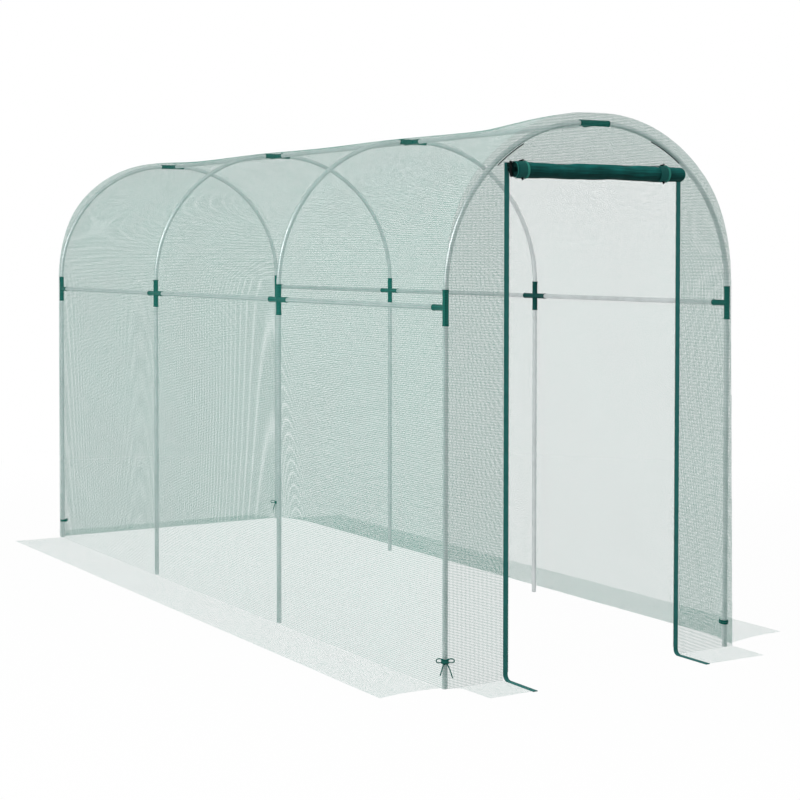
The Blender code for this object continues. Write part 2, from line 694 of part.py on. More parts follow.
def main():
    clear_scene()
    steel = material("galvanised_steel", (0.55, 0.58, 0.59), 0.38, 0.85)
    plastic = material("green_socket_plastic", (0.012, 0.105, 0.085), 0.42)
    netting = material("green_netting", (0.025, 0.150, 0.135), 0.75)
    rolled = material("rolled_netting", (0.012, 0.090, 0.080), 0.80)
    tape = material("binding_tape", (0.017, 0.095, 0.090), 0.80)
    webbing = material("tie_webbing", (0.015, 0.095, 0.080), 0.75)
    slider_plastic = material("slider_plastic", (0.010, 0.060, 0.052), 0.45)
    add_frame(steel)
    add_sockets(plastic)
    place("roof_net", roof_mesh(), netting)
    add_side_walls(netting)
    add_end_walls(netting)
    add_skirts(netting)
    add_binding(tape)
    add_curtain(rolled)
    add_roll(rolled)
    add_straps(webbing)
    add_sliders(slider_plastic)
    add_ties(webbing)


if __name__ == "__main__":
    main()
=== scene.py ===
"""Walk-in fruit cage, dressed: steel hoops in moulded sockets under a fitted net with a roll-up door.

Metres, +Z up. +Y runs from the door end to the back, and left is -X, as seen by someone who walks in.
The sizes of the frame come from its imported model, and each operator builds one kind of piece on it.
"""

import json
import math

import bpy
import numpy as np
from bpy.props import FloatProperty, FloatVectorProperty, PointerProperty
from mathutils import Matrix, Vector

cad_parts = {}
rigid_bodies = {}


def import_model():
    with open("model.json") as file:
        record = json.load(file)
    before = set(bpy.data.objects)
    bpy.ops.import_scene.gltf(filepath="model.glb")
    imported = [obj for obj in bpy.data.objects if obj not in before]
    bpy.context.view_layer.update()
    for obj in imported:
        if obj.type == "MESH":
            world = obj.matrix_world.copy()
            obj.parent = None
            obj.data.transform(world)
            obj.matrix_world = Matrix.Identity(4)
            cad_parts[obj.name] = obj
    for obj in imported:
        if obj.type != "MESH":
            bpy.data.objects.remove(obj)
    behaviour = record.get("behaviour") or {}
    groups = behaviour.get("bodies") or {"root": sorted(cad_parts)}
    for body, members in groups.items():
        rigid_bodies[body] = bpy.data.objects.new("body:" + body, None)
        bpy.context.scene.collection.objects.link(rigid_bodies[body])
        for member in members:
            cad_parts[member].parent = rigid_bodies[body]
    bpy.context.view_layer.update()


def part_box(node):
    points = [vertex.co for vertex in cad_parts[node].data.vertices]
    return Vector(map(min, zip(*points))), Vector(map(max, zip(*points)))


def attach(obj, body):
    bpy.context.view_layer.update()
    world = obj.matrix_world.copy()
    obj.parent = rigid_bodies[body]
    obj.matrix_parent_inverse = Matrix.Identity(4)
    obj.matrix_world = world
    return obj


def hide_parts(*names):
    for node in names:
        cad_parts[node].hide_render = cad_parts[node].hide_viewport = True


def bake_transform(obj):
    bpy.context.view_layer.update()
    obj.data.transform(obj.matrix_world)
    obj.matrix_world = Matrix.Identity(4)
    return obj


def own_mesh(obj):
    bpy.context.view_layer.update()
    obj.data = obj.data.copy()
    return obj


bl_info = {
    "name": "Fruit Cage",
    "version": (1, 0, 0),
    "blender": (4, 5, 0),
    "location": "3D View > Sidebar > Fruit Cage",
    "description": "Builds a walk-in netted fruit cage around its frame",
    "category": "Add Mesh",
}

for startup_object in list(bpy.data.objects):
    bpy.data.objects.remove(startup_object)
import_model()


def middle(node):
    low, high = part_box(node)
    return (low + high) / 2


def extent(node):
    low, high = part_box(node)
    return high - low


# Frame
HOOPS = (1, 2, 3, 4)
SIDES = {"left": -1, "right": 1}
HOOP_Y = [middle(f"leg_{hoop}_left").y for hoop in HOOPS]
BAY = HOOP_Y[1] - HOOP_Y[0]
POST_X = middle("leg_1_right").x
TUBE_RADIUS = extent("leg_1_right").x / 2
LEG_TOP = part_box("leg_1_right")[1].z
RAIL_Z = middle("rail_right_1").z
CROWN_Z = middle("ridge_tube_1").z
CROWN_STRAIGHT = 0.030  # straight stretch of an arch beside the crown
ARCH_RADIUS = POST_X - CROWN_STRAIGHT
SPRING_Z = CROWN_Z - ARCH_RADIUS
ARCH_FOOT_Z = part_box("arch_1_right")[0].z
ARCH_TOP_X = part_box("arch_1_right")[0].x
SPACER_HALF = extent("ridge_tube_1").y / 2
TUBE_WALL = 0.001
TUBE_SIDES = 28
ARCH_STEPS = 30

# Sockets
SLEEVE_RADIUS = extent("side_connector_1_right").x / 2
POST_SLEEVE_HALF = extent("side_connector_1_right").z / 2
CROWN_SLEEVE_HALF = extent("crown_connector_1").x / 2
RAIL_STUB_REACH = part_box("side_connector_1_right")[1].y - HOOP_Y[0]
RIDGE_STUB_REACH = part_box("crown_connector_1")[1].y - HOOP_Y[0]
BEAD_HEIGHT = 0.0008
BEAD_LENGTH = 0.005
MOUTH_DEPTH = 0.002
SOCKET_SIDES = 32
SOCKET_FILLET = 0.0008

# Net cover
END_FACE = -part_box("front_net_left")[1].y  # inner face of an end wall
NET_OFFSET = END_FACE + HOOP_Y[0]  # from a tube's centre line to the net on it
NET_X = POST_X + NET_OFFSET
ROOF_RADIUS = ARCH_RADIUS + NET_OFFSET
SPRING_RISE = SPRING_Z - RAIL_Z
ROOF_HALF_WIDTH = CROWN_STRAIGHT + ROOF_RADIUS * math.pi / 2 + SPRING_RISE
FOLD_X = {"left": 0.624, "right": 0.694}  # where the side walls meet the ground, away from the corners
CORNER_FOLD_X = {"left": 0.619, "right": 0.634}
CORNER_PULL = 0.38  # how far from an end the ties draw a wall in
HUMP_LENGTH = 0.60
HUMP_ANGLE = math.radians(40)  # above the spring line, where the roof's hump is full
BACK_HUMP_LENGTH = 0.45
NET_FOOT = 0.0022  # the walls end on their skirts
ROUND_STEP = 0.080  # a thread's segment where the net is curved
WALL_STEP = 0.160
FLAT_STEP = 0.250
SHORTEST_THREAD = 0.002
CLOTH_RIPPLE = 0.00025
WALL_SAG_SHARE = 0.3  # the side walls hang in less than the roof

# Ground skirts
SKIRT_REACH_Y = 1.968
SIDE_SKIRTS = {  # outer edge, front tip's y, front foot, back tip's y, how hollow its corners are
    "left": (0.857, -1.787, (0.617, -1.776), 1.786, 0.012),
    "right": (0.952, -1.713, (0.650, -1.766), 1.713, 0.016),
}
FRONT_SKIRTS = {"left": (0.551, 0.558, 0.605), "right": (0.630, 0.633, 0.634)}  # x at rim, corner and fold
FRONT_CORNER_Y = -1.820
FRONT_HOLLOW = 0.004
BACK_SKIRT = {"left": (-0.600, -0.570), "right": (0.610, 0.570)}  # x at the fold and at the rim
BACK_HOLLOW = 0.008
SKIRT_THREAD_FLATNESS = 0.6  # its threads lie flatter than those of the walls
SKIRT_LIFT = 0.0010
SKIRT_WAVE = 0.0012

# Doorway
BINDING_LOW, BINDING_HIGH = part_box("door_binding")
TAPE_WIDTH = 0.018
TAPE_THICKNESS = 0.003
TAPE_BEND_RADIUS = 0.020
DOORWAY_SHIFT = -0.004  # the tapes and the door wall's net lie this far from the CAD's, as in the photograph
TAPE_X = {side: sign * (BINDING_HIGH.x - TAPE_WIDTH / 2) + DOORWAY_SHIFT for side, sign in SIDES.items()}
TAPE_TOP = BINDING_HIGH.z
TAPE_Y = -END_FACE - TAPE_THICKNESS / 2
TAPE_FOOT_Y = BINDING_LOW.y
NET_UNDER_TAPE = 0.0005
JAMB_X = {side: TAPE_X[side] + sign * (TAPE_WIDTH / 2 - NET_UNDER_TAPE) for side, sign in SIDES.items()}

# Rolled door
ROLL_LOW, ROLL_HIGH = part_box("door_roll")
ROLL_RADIUS = 0.0275
ROLL_Y = ROLL_HIGH.y - ROLL_RADIUS
ROLL_Z = middle("door_curtain").z - extent("door_curtain").z / 2
ROLL_TURNS = 14
ROLL_PITCH = 0.0012
ROLL_SHEET = 0.0006
CURTAIN_Y = middle("door_curtain").y
CURTAIN_HALF_WIDTH = extent("door_curtain").x / 2
DOOR_TRAVEL = 1.66
STRAP_WIDTH = extent("roll_strap_left").x

# Ties
TIE_Z = 0.093  # the middle of a tie's windings


def settings():
    return bpy.context.scene.fruit_cage


LENGTH = {"subtype": "DISTANCE", "unit": "LENGTH"}
COLOUR = {"subtype": "COLOR", "size": 3, "min": 0.0, "max": 1.0}


class FruitCageSettings(bpy.types.PropertyGroup):
    """Sizes and colours of the cage that a user would change.

    The mesh pitch comes from the photograph's own interference pattern. The other pitches don't: they differ
    from it so that nets that are seen through each other don't beat in a small picture.
    """

    mesh_pitch: FloatProperty(
        name="Mesh pitch", description="Distance between the threads of the door wall and the skirts",
        default=0.0052, min=0.003, max=0.05, **LENGTH,
    )
    row_pitch: FloatProperty(
        name="Row pitch", description="Distance between the level threads of the left wall and half roof",
        default=0.0068, min=0.002, max=0.05, **LENGTH,
    )
    fine_row_pitch: FloatProperty(
        name="Fine row pitch", description="Distance between the level threads on the right side",
        default=0.00275, min=0.002, max=0.05, **LENGTH,
    )
    upright_pitch: FloatProperty(
        name="Upright pitch", description="Distance between the uprights of the side walls and the roof",
        default=0.0045, min=0.002, max=0.05, **LENGTH,
    )
    back_pitch: FloatProperty(
        name="Back pitch", description="Distance between neighbouring threads of the back wall",
        default=0.0032, min=0.002, max=0.05, **LENGTH,
    )
    row_cover: FloatProperty(
        name="Row cover", description="Share of the side walls and the roof that level threads cover",
        default=0.105, min=0.02, max=0.5, subtype="FACTOR",
    )
    upright_cover: FloatProperty(
        name="Upright cover", description="Share of the side walls and the roof that upright threads cover",
        default=0.205, min=0.02, max=0.5, subtype="FACTOR",
    )
    end_cover: FloatProperty(
        name="End cover", description="Share of the end walls that the threads of each direction cover",
        default=0.179, min=0.02, max=0.5, subtype="FACTOR",
    )
    skirt_thread: FloatProperty(
        name="Skirt thread", description="Width of the flat threads in the ground skirts",
        default=0.00065, min=0.0003, max=0.004, **LENGTH,
    )
    thread_height: FloatProperty(
        name="Thread height", description="How far a thread stands off the cloth",
        default=0.00005, min=0.00002, max=0.002, **LENGTH,
    )
    sag: FloatProperty(
        name="Sag", description="How far the net hangs in between two hoops",
        default=0.009, min=0.0, max=0.03, **LENGTH,
    )
    hump: FloatProperty(
        name="Hump", description="How far the roof net stands off the door hoop",
        default=0.025, min=0.0, max=0.04, **LENGTH,
    )
    thread_colour: FloatVectorProperty(
        name="Thread colour", description="Colour of the net",
        default=(0.012, 0.200, 0.150), **COLOUR,
    )
    roll_colour: FloatVectorProperty(
        name="Roll colour", description="Colour of the rolled door net",
        default=(0.004, 0.100, 0.090), **COLOUR,
    )
    tape_colour: FloatVectorProperty(
        name="Tape colour", description="Colour of the tapes that bind the doorway",
        default=(0.012, 0.118, 0.108), **COLOUR,
    )
    steel_colour: FloatVectorProperty(
        name="Steel colour", description="Colour of the galvanised tubes",
        default=(0.60, 0.63, 0.635), **COLOUR,
    )
    plastic_colour: FloatVectorProperty(
        name="Plastic colour", description="Colour of the moulded sockets",
        default=(0.0010, 0.056, 0.050), **COLOUR,
    )
    stitch_pitch: FloatProperty(
        name="Stitch pitch", description="Distance from stitch to stitch along the door tapes",
        default=0.0045, min=0.002, max=0.02, **LENGTH,
    )
    key_power: FloatProperty(
        name="Key light", description="Power of the large soft light over the left shoulder",
        default=500.0, min=0.0, max=3000.0, unit="POWER",
    )
    sky_strength: FloatProperty(
        name="Sky strength", description="Strength of the even light from all round",
        default=0.68, min=0.0, max=3.0,
    )


def unit(vectors):
    return vectors / np.linalg.norm(vectors, axis=-1, keepdims=True)


def smooth(share):
    share = np.clip(share, 0, 1)
    return share * share * (3 - 2 * share)


def ripple(a, b):
    """A gentle unevenness between -1 and 1, with waves of about half a metre."""
    first = np.sin(7.3 * a + 1.9 * b + 0.4) * np.sin(5.1 * b - 0.7)
    second = np.sin(11.9 * a - 6.7 * b + 2.1)
    return 0.65 * first + 0.35 * second


def hoop_slack(y):
    """0 on each hoop and 1 halfway between two."""
    return np.sin(math.pi * (y - HOOP_Y[0]) / BAY) ** 2


class Form:
    """Points, faces and lengthwise UVs gathered for one mesh, with a finish number for each face."""

    def __init__(self):
        self.points, self.faces, self.uvs, self.finishes = [], [], [], []
        self.count = 0

    def add(self, points, faces, uvs=None, finish=0):
        points = np.asarray(points, float).reshape(-1, 3)
        if signed_volume(points, faces) < 0:
            faces = [tuple(face)[::-1] for face in faces]
            uvs = None if uvs is None else [tuple(corner)[::-1] for corner in uvs]
        self.points.append(points)
        self.faces += [tuple(corner + self.count for corner in face) for face in faces]
        self.uvs += uvs if uvs is not None else [((0, 0),) * len(face) for face in faces]
        self.finishes += [finish] * len(faces)
        self.count += len(points)

    def mesh(self, name):
        mesh = bpy.data.meshes.new(name)
        mesh.from_pydata(np.concatenate(self.points), [], self.faces)
        layer = mesh.uv_layers.new(name="Length")
        corners = [corner for face in self.uvs for corner in face]
        layer.data.foreach_set("uv", np.asarray(corners, np.float32).reshape(-1))
        mesh.polygons.foreach_set("material_index", np.asarray(self.finishes, np.int32))
        mesh.update()
        return mesh


def signed_volume(points, faces):
    total = 0.0
    for face in faces:
        first = points[face[0]]
        for here, there in zip(face[1:-1], face[2:]):
            total += first @ np.cross(points[here], points[there])
    return total


def put(name, mesh, materials, nodes=(), body="cage", smooth_angle=40):
    """One named piece that rides on a body of the frame and stands for those nodes."""
    if smooth_angle:
        mesh.shade_smooth()
        mesh.set_sharp_from_angle(angle=math.radians(smooth_angle))
    else:
        mesh.shade_flat()
    for material in materials:
        mesh.materials.append(material)
    piece = bpy.data.objects.new(name, mesh)
    bpy.context.scene.collection.objects.link(piece)
    if body:
        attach(piece, body)
    if nodes:
        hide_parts(*nodes)
    return piece


def grid_faces(rows, columns, closed_rows=False, closed_columns=False):
    """Quads of a grid of points, row after row, and their (row, column) corners."""
    last_row = rows if closed_rows else rows - 1
    last_column = columns if closed_columns else columns - 1
    row, column = np.meshgrid(np.arange(last_row), np.arange(last_column), indexing="ij")
    row, column = row.ravel(), column.ravel()
    corners = [(row, column), (row, column + 1), (row + 1, column + 1), (row + 1, column)]
    faces = np.stack([(r % rows) * columns + c % columns for r, c in corners], axis=1)
    return faces, corners


def swept(path, section, side, closed=False):
    """A closed section carried along a path. Gives points, faces and UVs in metres."""
    path = np.asarray(path, float)
    section = np.asarray(section, float)
    count, sides = len(path), len(section)
    if closed:
        ahead = unit(np.roll(path, -1, axis=0) - np.roll(path, 1, axis=0))
    else:
        ahead = unit(np.gradient(path, axis=0))
    across = np.empty_like(path)
    carried = np.asarray(side, float)
    for index in range(count):
        carried = carried - ahead[index] * (carried @ ahead[index])
        carried = carried / np.linalg.norm(carried)
        across[index] = carried
    up = np.cross(ahead, across)
    points = path[:, None] + across[:, None] * section[None, :, :1] + up[:, None] * section[None, :, 1:]
    faces, corners = grid_faces(count, sides, closed_rows=closed, closed_columns=True)
    steps = np.linalg.norm(np.diff(np.vstack([path, path[:1]]), axis=0), axis=1)
    along = np.concatenate([[0], np.cumsum(steps)])
    edges = np.linalg.norm(np.diff(np.vstack([section, section[:1]]), axis=0), axis=1)
    around = np.concatenate([[0], np.cumsum(edges)])
    uvs = np.stack([np.stack([along[r], around[c]], axis=1) for r, c in corners], axis=1)
    faces, uvs = faces.tolist(), [tuple(map(tuple, face)) for face in uvs]
    if not closed:
        for first in (0, (count - 1) * sides):
            cap = list(range(first, first + sides))
            faces.append(cap[::-1] if first == 0 else cap)
            uvs.append(((0, 0),) * sides)
    return points.reshape(-1, 3), faces, uvs


def circle(radius, sides):
    turns = 2 * math.pi * np.arange(sides) / sides
    return radius * np.stack([np.cos(turns), np.sin(turns)], axis=1)


def rounded_bar(width, thickness, corner, steps=3):
    """A flat section with rounded corners."""
    points = []
    for quarter, (across, up) in enumerate(((1, 1), (-1, 1), (-1, -1), (1, -1))):
        centre = (across * (width / 2 - corner), up * (thickness / 2 - corner))
        for step in range(steps + 1):
            turn = math.pi / 2 * (quarter + step / steps)
            points.append((centre[0] + corner * math.cos(turn), centre[1] + corner * math.sin(turn)))
    return np.array(points)


def rounded_path(points, radius, steps=6):
    """A line through flat corners, each cut by an arc of that radius."""
    points = [np.asarray(point, float) for point in points]
    line = [points[0]]
    for before, corner, after in zip(points, points[1:], points[2:]):
        back, ahead = unit(before - corner), unit(after - corner)
        half = math.acos(max(-1, min(1, float(back @ ahead)))) / 2
        reach = radius / math.tan(half)
        centre = corner + unit(back + ahead) * radius / math.sin(half)
        start, end = corner + back * reach - centre, corner + ahead * reach - centre
        sweep = math.pi - 2 * half
        for step in range(steps + 1):
            share = step / steps
            turned = start * math.sin((1 - share) * sweep) + end * math.sin(share * sweep)
            line.append(centre + turned / math.sin(sweep))
    line.append(points[-1])
    return np.array(line)


def smooth_line(points, steps=8, closed=False):
    """A smooth curve through points (Catmull-Rom)."""
    points = np.asarray(points, float)
    if closed:
        padded = np.vstack([points[-1:], points, points[:2]])
    else:
        padded = np.vstack([2 * points[0] - points[1], points, 2 * points[-1] - points[-2]])
    line = []
    for a, b, c, d in zip(padded, padded[1:], padded[2:], padded[3:]):
        for share in np.arange(steps) / steps:
            bend = (2 * a - 5 * b + 4 * c - d) * share + (3 * b - 3 * c + d - a) * share * share
            line.append(b + share * (c - a + bend) / 2)
    if not closed:
        line.append(points[-1])
    return np.array(line)


def group_tree(name, inputs, outputs):
    """An empty shader node group with its sockets, given as (name, kind, default)."""
    tree = bpy.data.node_groups.new(name, "ShaderNodeTree")
    for title, kind, default in inputs:
        socket = tree.interface.new_socket(title, in_out="INPUT", socket_type=kind)
        socket.default_value = default
    for title, kind in outputs:
        tree.interface.new_socket(title, in_out="OUTPUT", socket_type=kind)
    return tree, tree.nodes.new("NodeGroupInput"), tree.nodes.new("NodeGroupOutput")


def math_node(tree, operation, first, second=None):
    node = tree.nodes.new("ShaderNodeMath")
    node.operation = operation
    for socket, value in zip(node.inputs, (first, second)):
        if isinstance(value, bpy.types.NodeSocket):
            tree.links.new(value, socket)
        elif value is not None:
            socket.default_value = value
    return node.outputs[0]


def noise_node(tree, scale, detail, vector):
    node = tree.nodes.new("ShaderNodeTexNoise")
    node.inputs["Detail"].default_value = detail
    tree.links.new(vector, node.inputs["Vector"])
    if isinstance(scale, bpy.types.NodeSocket):
        tree.links.new(scale, node.inputs["Scale"])
    else:
        node.inputs["Scale"].default_value = scale
    return node.outputs["Fac"]


def scaled_colour(tree, colour, gain):
    node = tree.nodes.new("ShaderNodeVectorMath")
    node.operation = "SCALE"
    tree.links.new(colour, node.inputs[0])
    tree.links.new(gain, node.inputs["Scale"])
    return node.outputs[0]


def colour_drift_group():
    """A colour that drifts lighter and darker over the surface."""
    tree, taken, given = group_tree(
        "Colour drift",
        [("Colour", "NodeSocketColor", (0.5, 0.5, 0.5, 1)), ("Scale", "NodeSocketFloat", 6.0),
         ("Amount", "NodeSocketFloat", 0.2)],
        [("Colour", "NodeSocketColor"), ("Mask", "NodeSocketFloat")],
    )
    place = tree.nodes.new("ShaderNodeTexCoord").outputs["Object"]
    noise = noise_node(tree, taken.outputs["Scale"], 5.0, place)
    centred = math_node(tree, "SUBTRACT", noise, 0.5)
    swing = math_node(tree, "MULTIPLY", centred, taken.outputs["Amount"])
    gain = math_node(tree, "ADD", math_node(tree, "MULTIPLY", swing, 4.0), 1.0)
    tree.links.new(scaled_colour(tree, taken.outputs["Colour"], gain), given.inputs["Colour"])
    tree.links.new(noise, given.inputs["Mask"])
    return tree


def weave_group():
    """A plain weave over lengthwise UVs in metres."""
    tree, taken, given = group_tree(
        "Weave",
        [("Spacing", "NodeSocketFloat", 0.0008)],
        [("Height", "NodeSocketFloat")],
    )
    chart = tree.nodes.new("ShaderNodeUVMap")
    chart.uv_map = "Length"
    parts = tree.nodes.new("ShaderNodeSeparateXYZ")
    tree.links.new(chart.outputs["UV"], parts.inputs[0])
    waves = []
    for part in (parts.outputs["X"], parts.outputs["Y"]):
        turns = math_node(tree, "DIVIDE", part, taken.outputs["Spacing"])
        waves.append(math_node(tree, "SINE", math_node(tree, "MULTIPLY", turns, math.pi)))
    crossed = math_node(tree, "MULTIPLY", waves[0], waves[1])
    tree.links.new(math_node(tree, "ABSOLUTE", crossed), given.inputs["Height"])
    return tree


def grain_group():
    """A fine even grain, as moulded plastic and zinc have."""
    tree, taken, given = group_tree(
        "Fine grain",
        [("Scale", "NodeSocketFloat", 900.0), ("Low", "NodeSocketFloat", 0.4),
         ("High", "NodeSocketFloat", 0.6)],
        [("Height", "NodeSocketFloat"), ("Roughness", "NodeSocketFloat")],
    )
    place = tree.nodes.new("ShaderNodeTexCoord").outputs["Object"]
    fine = noise_node(tree, taken.outputs["Scale"], 3.0, place)
    broad = noise_node(tree, 35.0, 4.0, place)
    span = math_node(tree, "SUBTRACT", taken.outputs["High"], taken.outputs["Low"])
    rough = math_node(tree, "ADD", math_node(tree, "MULTIPLY", broad, span), taken.outputs["Low"])
    tree.links.new(fine, given.inputs["Height"])
    tree.links.new(rough, given.inputs["Roughness"])
    return tree


GROUP_MAKERS = {"Colour drift": colour_drift_group, "Weave": weave_group, "Fine grain": grain_group}


def placed_group(tree, name, **values):
    """A shared node group in a material, made the first time that it is used."""
    node = tree.nodes.new("ShaderNodeGroup")
    node.node_tree = bpy.data.node_groups.get(name) or GROUP_MAKERS[name]()
    for title, value in values.items():
        node.inputs[title].default_value = value
    return node


def bump_from(tree, height, strength, distance):
    bump = tree.nodes.new("ShaderNodeBump")
    bump.inputs["Strength"].default_value = strength
    bump.inputs["Distance"].default_value = distance
    tree.links.new(height, bump.inputs["Height"])
    return bump.outputs["Normal"]


def new_material(name):
    """A material, its node tree and its shader."""
    material = bpy.data.materials.new(name)
    material.use_nodes = True
    return material, material.node_tree, material.node_tree.nodes["Principled BSDF"]


def map_range(tree, value, spans, interpolation="LINEAR"):
    """Carries a value from spans[0]...spans[1] onto spans[2]...spans[3]."""
    node = tree.nodes.new("ShaderNodeMapRange")
    node.interpolation_type = interpolation
    for title, number in zip(("From Min", "From Max", "To Min", "To Max"), spans):
        node.inputs[title].default_value = number
    tree.links.new(value, node.inputs["Value"])
    return node.outputs["Result"]


def cloth_material(name, colour, roughness, drift=0.15, drift_scale=6.0, weave=None, sheen=0.0):
    """Thread, tape or webbing: a drifting colour, with a weave where it is a tape."""
    found = bpy.data.materials.get(name)
    if found:
        return found
    material, tree, shader = new_material(name)
    shader.inputs["Roughness"].default_value = roughness
    shader.inputs["Specular IOR Level"].default_value = 0.12
    shader.inputs["Sheen Weight"].default_value = sheen
    drifting = placed_group(tree, "Colour drift", Colour=(*colour, 1), Scale=drift_scale, Amount=drift)
    tree.links.new(drifting.outputs["Colour"], shader.inputs["Base Color"])
    if weave:
        woven = placed_group(tree, "Weave", Spacing=weave)
        tree.links.new(bump_from(tree, woven.outputs["Height"], 0.6, weave / 4), shader.inputs["Normal"])
    else:
        grain = placed_group(tree, "Fine grain", Scale=1500.0)
        tree.links.new(bump_from(tree, grain.outputs["Height"], 0.3, 0.0001), shader.inputs["Normal"])
    return material


def plastic_material(name, colour, low, high):
    """Moulded plastic with a satin, slightly uneven gloss."""
    found = bpy.data.materials.get(name)
    if found:
        return found
    material, tree, shader = new_material(name)
    drifting = placed_group(tree, "Colour drift", Colour=(*colour, 1), Scale=14.0, Amount=0.08)
    grain = placed_group(tree, "Fine grain", Scale=1100.0, Low=low, High=high)
    shader.inputs["Specular IOR Level"].default_value = 0.12
    tree.links.new(drifting.outputs["Colour"], shader.inputs["Base Color"])
    tree.links.new(grain.outputs["Roughness"], shader.inputs["Roughness"])
    tree.links.new(bump_from(tree, grain.outputs["Height"], 0.25, 0.0001), shader.inputs["Normal"])
    return material


def steel_material():
    """Galvanised steel: a cool grey with soft zinc clouds and a brushed, uneven gloss."""
    found = bpy.data.materials.get("galvanised_steel")
    if found:
        return found
    material, tree, shader = new_material("galvanised_steel")
    shader.inputs["Metallic"].default_value = 0.55
    colour = (*settings().steel_colour, 1)
    drifting = placed_group(tree, "Colour drift", Colour=colour, Scale=22.0, Amount=0.10)
    grain = placed_group(tree, "Fine grain", Scale=700.0, Low=0.28, High=0.50)
    tree.links.new(drifting.outputs["Colour"], shader.inputs["Base Color"])
    tree.links.new(grain.outputs["Roughness"], shader.inputs["Roughness"])
    tree.links.new(bump_from(tree, grain.outputs["Height"], 0.2, 0.0001), shader.inputs["Normal"])
    return material


def evenly(low, high, pitch):
    """Places for threads between low and high, a pitch apart."""
    return np.arange(low + pitch / 2, high, pitch)


def stretches(outline, axis, level):
    """Where a line at a constant u (axis 0) or v (axis 1) lies inside the outline."""
    crossings = []
    for here, there in zip(outline, outline[1:] + outline[:1]):
        before, after = here[axis] - level, there[axis] - level
        if (before < 0) != (after < 0):
            share = before / (before - after)
            crossings.append(here[1 - axis] + (there[1 - axis] - here[1 - axis]) * share)
    crossings.sort()
    return zip(crossings[::2], crossings[1::2])


def thread_lines(outline, axis, levels, step):
    """The threads of one direction, each as flat points along it."""
    lines = []
    for level in levels:
        for start, end in stretches(outline, axis, level):
            if end - start < SHORTEST_THREAD:
                continue
            count = max(1, math.ceil((end - start) / step))
            line = np.full((count + 1, 2), level)
            line[:, 1 - axis] = np.linspace(start, end, count + 1)
            lines.append(line)
    return lines


def net_piece(name, placed, outline, bands, steps, outward=1, flatness=1.0):
    """A net of flat threads. placed(u, v) carries a flat point, in metres, onto the hung cloth.

    Each band is (axis, levels, width): threads at a constant u (axis 0) or v (axis 1). steps holds the
    longest segment along u and along v.
    """
    height = settings().thread_height * flatness
    lines = []
    for axis, levels, width in bands:
        for line in thread_lines(outline, axis, levels, steps[1 - axis]):
            lines.append((line, axis * height, width / 2))
    flat = np.concatenate([line for line, _, _ in lines])
    counts = np.array([len(line) for line, _, _ in lines])
    half = np.repeat([half for _, _, half in lines], counts)[:, None]
    lift = np.repeat([under for _, under, _ in lines], counts)[:, None]
    ahead = np.concatenate([unit(np.gradient(line, axis=0)) for line, _, _ in lines])
    nudge = 0.001
    u, v = flat.T
    along_u = placed(u + nudge, v) - placed(u - nudge, v)
    along_v = placed(u, v + nudge) - placed(u, v - nudge)
    normal = unit(np.cross(along_u, along_v)) * outward
    running = along_u * ahead[:, :1] + along_v * ahead[:, 1:]
    side = unit(np.cross(normal, running))
    middle_line = placed(u, v) + normal * lift
    ridge = middle_line + normal * height
    points = np.stack([middle_line - side * half, middle_line + side * half, ridge], axis=1)
    last = np.cumsum(counts) - 1
    first = np.concatenate([[0], last[:-1] + 1])
    inner = np.ones(len(flat), bool)
    inner[last] = False
    at = 3 * np.nonzero(inner)[0]
    sides = ((0, 1), (1, 2), (2, 0))
    quads = [np.stack([at + a, at + b, at + b + 3, at + a + 3], axis=1) for a, b in sides]
    caps = [np.stack([3 * first + 2, 3 * first + 1, 3 * first], axis=1)]
    caps.append(np.stack([3 * last, 3 * last + 1, 3 * last + 2], axis=1))
    faces = np.concatenate(quads).tolist() + np.concatenate(caps).tolist()
    if outward * thread_turn(points, at[0]) < 0:
        faces = [face[::-1] for face in faces]
    mesh = bpy.data.meshes.new(name)
    mesh.from_pydata(points.reshape(-1, 3), [], faces)
    low = flat.min(axis=0)
    margin = max(width for _, _, width in bands)
    span = float((flat.max(axis=0) - low).max()) + 2 * margin
    sideways = np.stack([-ahead[:, 1], ahead[:, 0]], axis=1) * half
    chart = np.stack([flat - sideways, flat + sideways, flat], axis=1).reshape(-1, 2)
    chart = (chart - low + margin) / span
    corners = np.empty(len(mesh.loops), np.int32)
    mesh.loops.foreach_get("vertex_index", corners)
    layer = mesh.uv_layers.new(name="OFBake")
    layer.data.foreach_set("uv", chart[corners].astype(np.float32).reshape(-1))
    return mesh


def thread_turn(points, at):
    """Above 0 where the first thread's faces, in their order, look out."""
    ring = points.reshape(-1, 3)
    a, b, c = ring[at], ring[at + 1], ring[at + 4]
    top = ring[at + 2]
    return -float(np.dot(np.cross(b - a, c - b), top - a))


def row_pitch(side):
    """Finer on the right, so that the two sides don't beat when one is seen through the other."""
    return settings().row_pitch if side == "left" else settings().fine_row_pitch


def net_colours():
    return [cloth_material("net_thread", settings().thread_colour, 0.6, drift=0.10, drift_scale=3.0)]


def finish_net(name, mesh, nodes):
    """Links a net with its thread material and puts it in place of its stand-ins."""
    piece = put(name, mesh, net_colours(), nodes, smooth_angle=None)


def hump_lift(y, lean):
    """How far the roof net stands off: over the door hoop, and less over the back hoop's shoulders."""
    front = smooth(1 - (y + END_FACE) / HUMP_LENGTH)
    back = smooth(1 - (END_FACE - y) / BACK_HUMP_LENGTH) * (0.35 + 0.50 * np.sin(1.8 * lean) ** 2)
    return settings().hump * (front + back) * smooth((math.pi / 2 - lean) / HUMP_ANGLE)


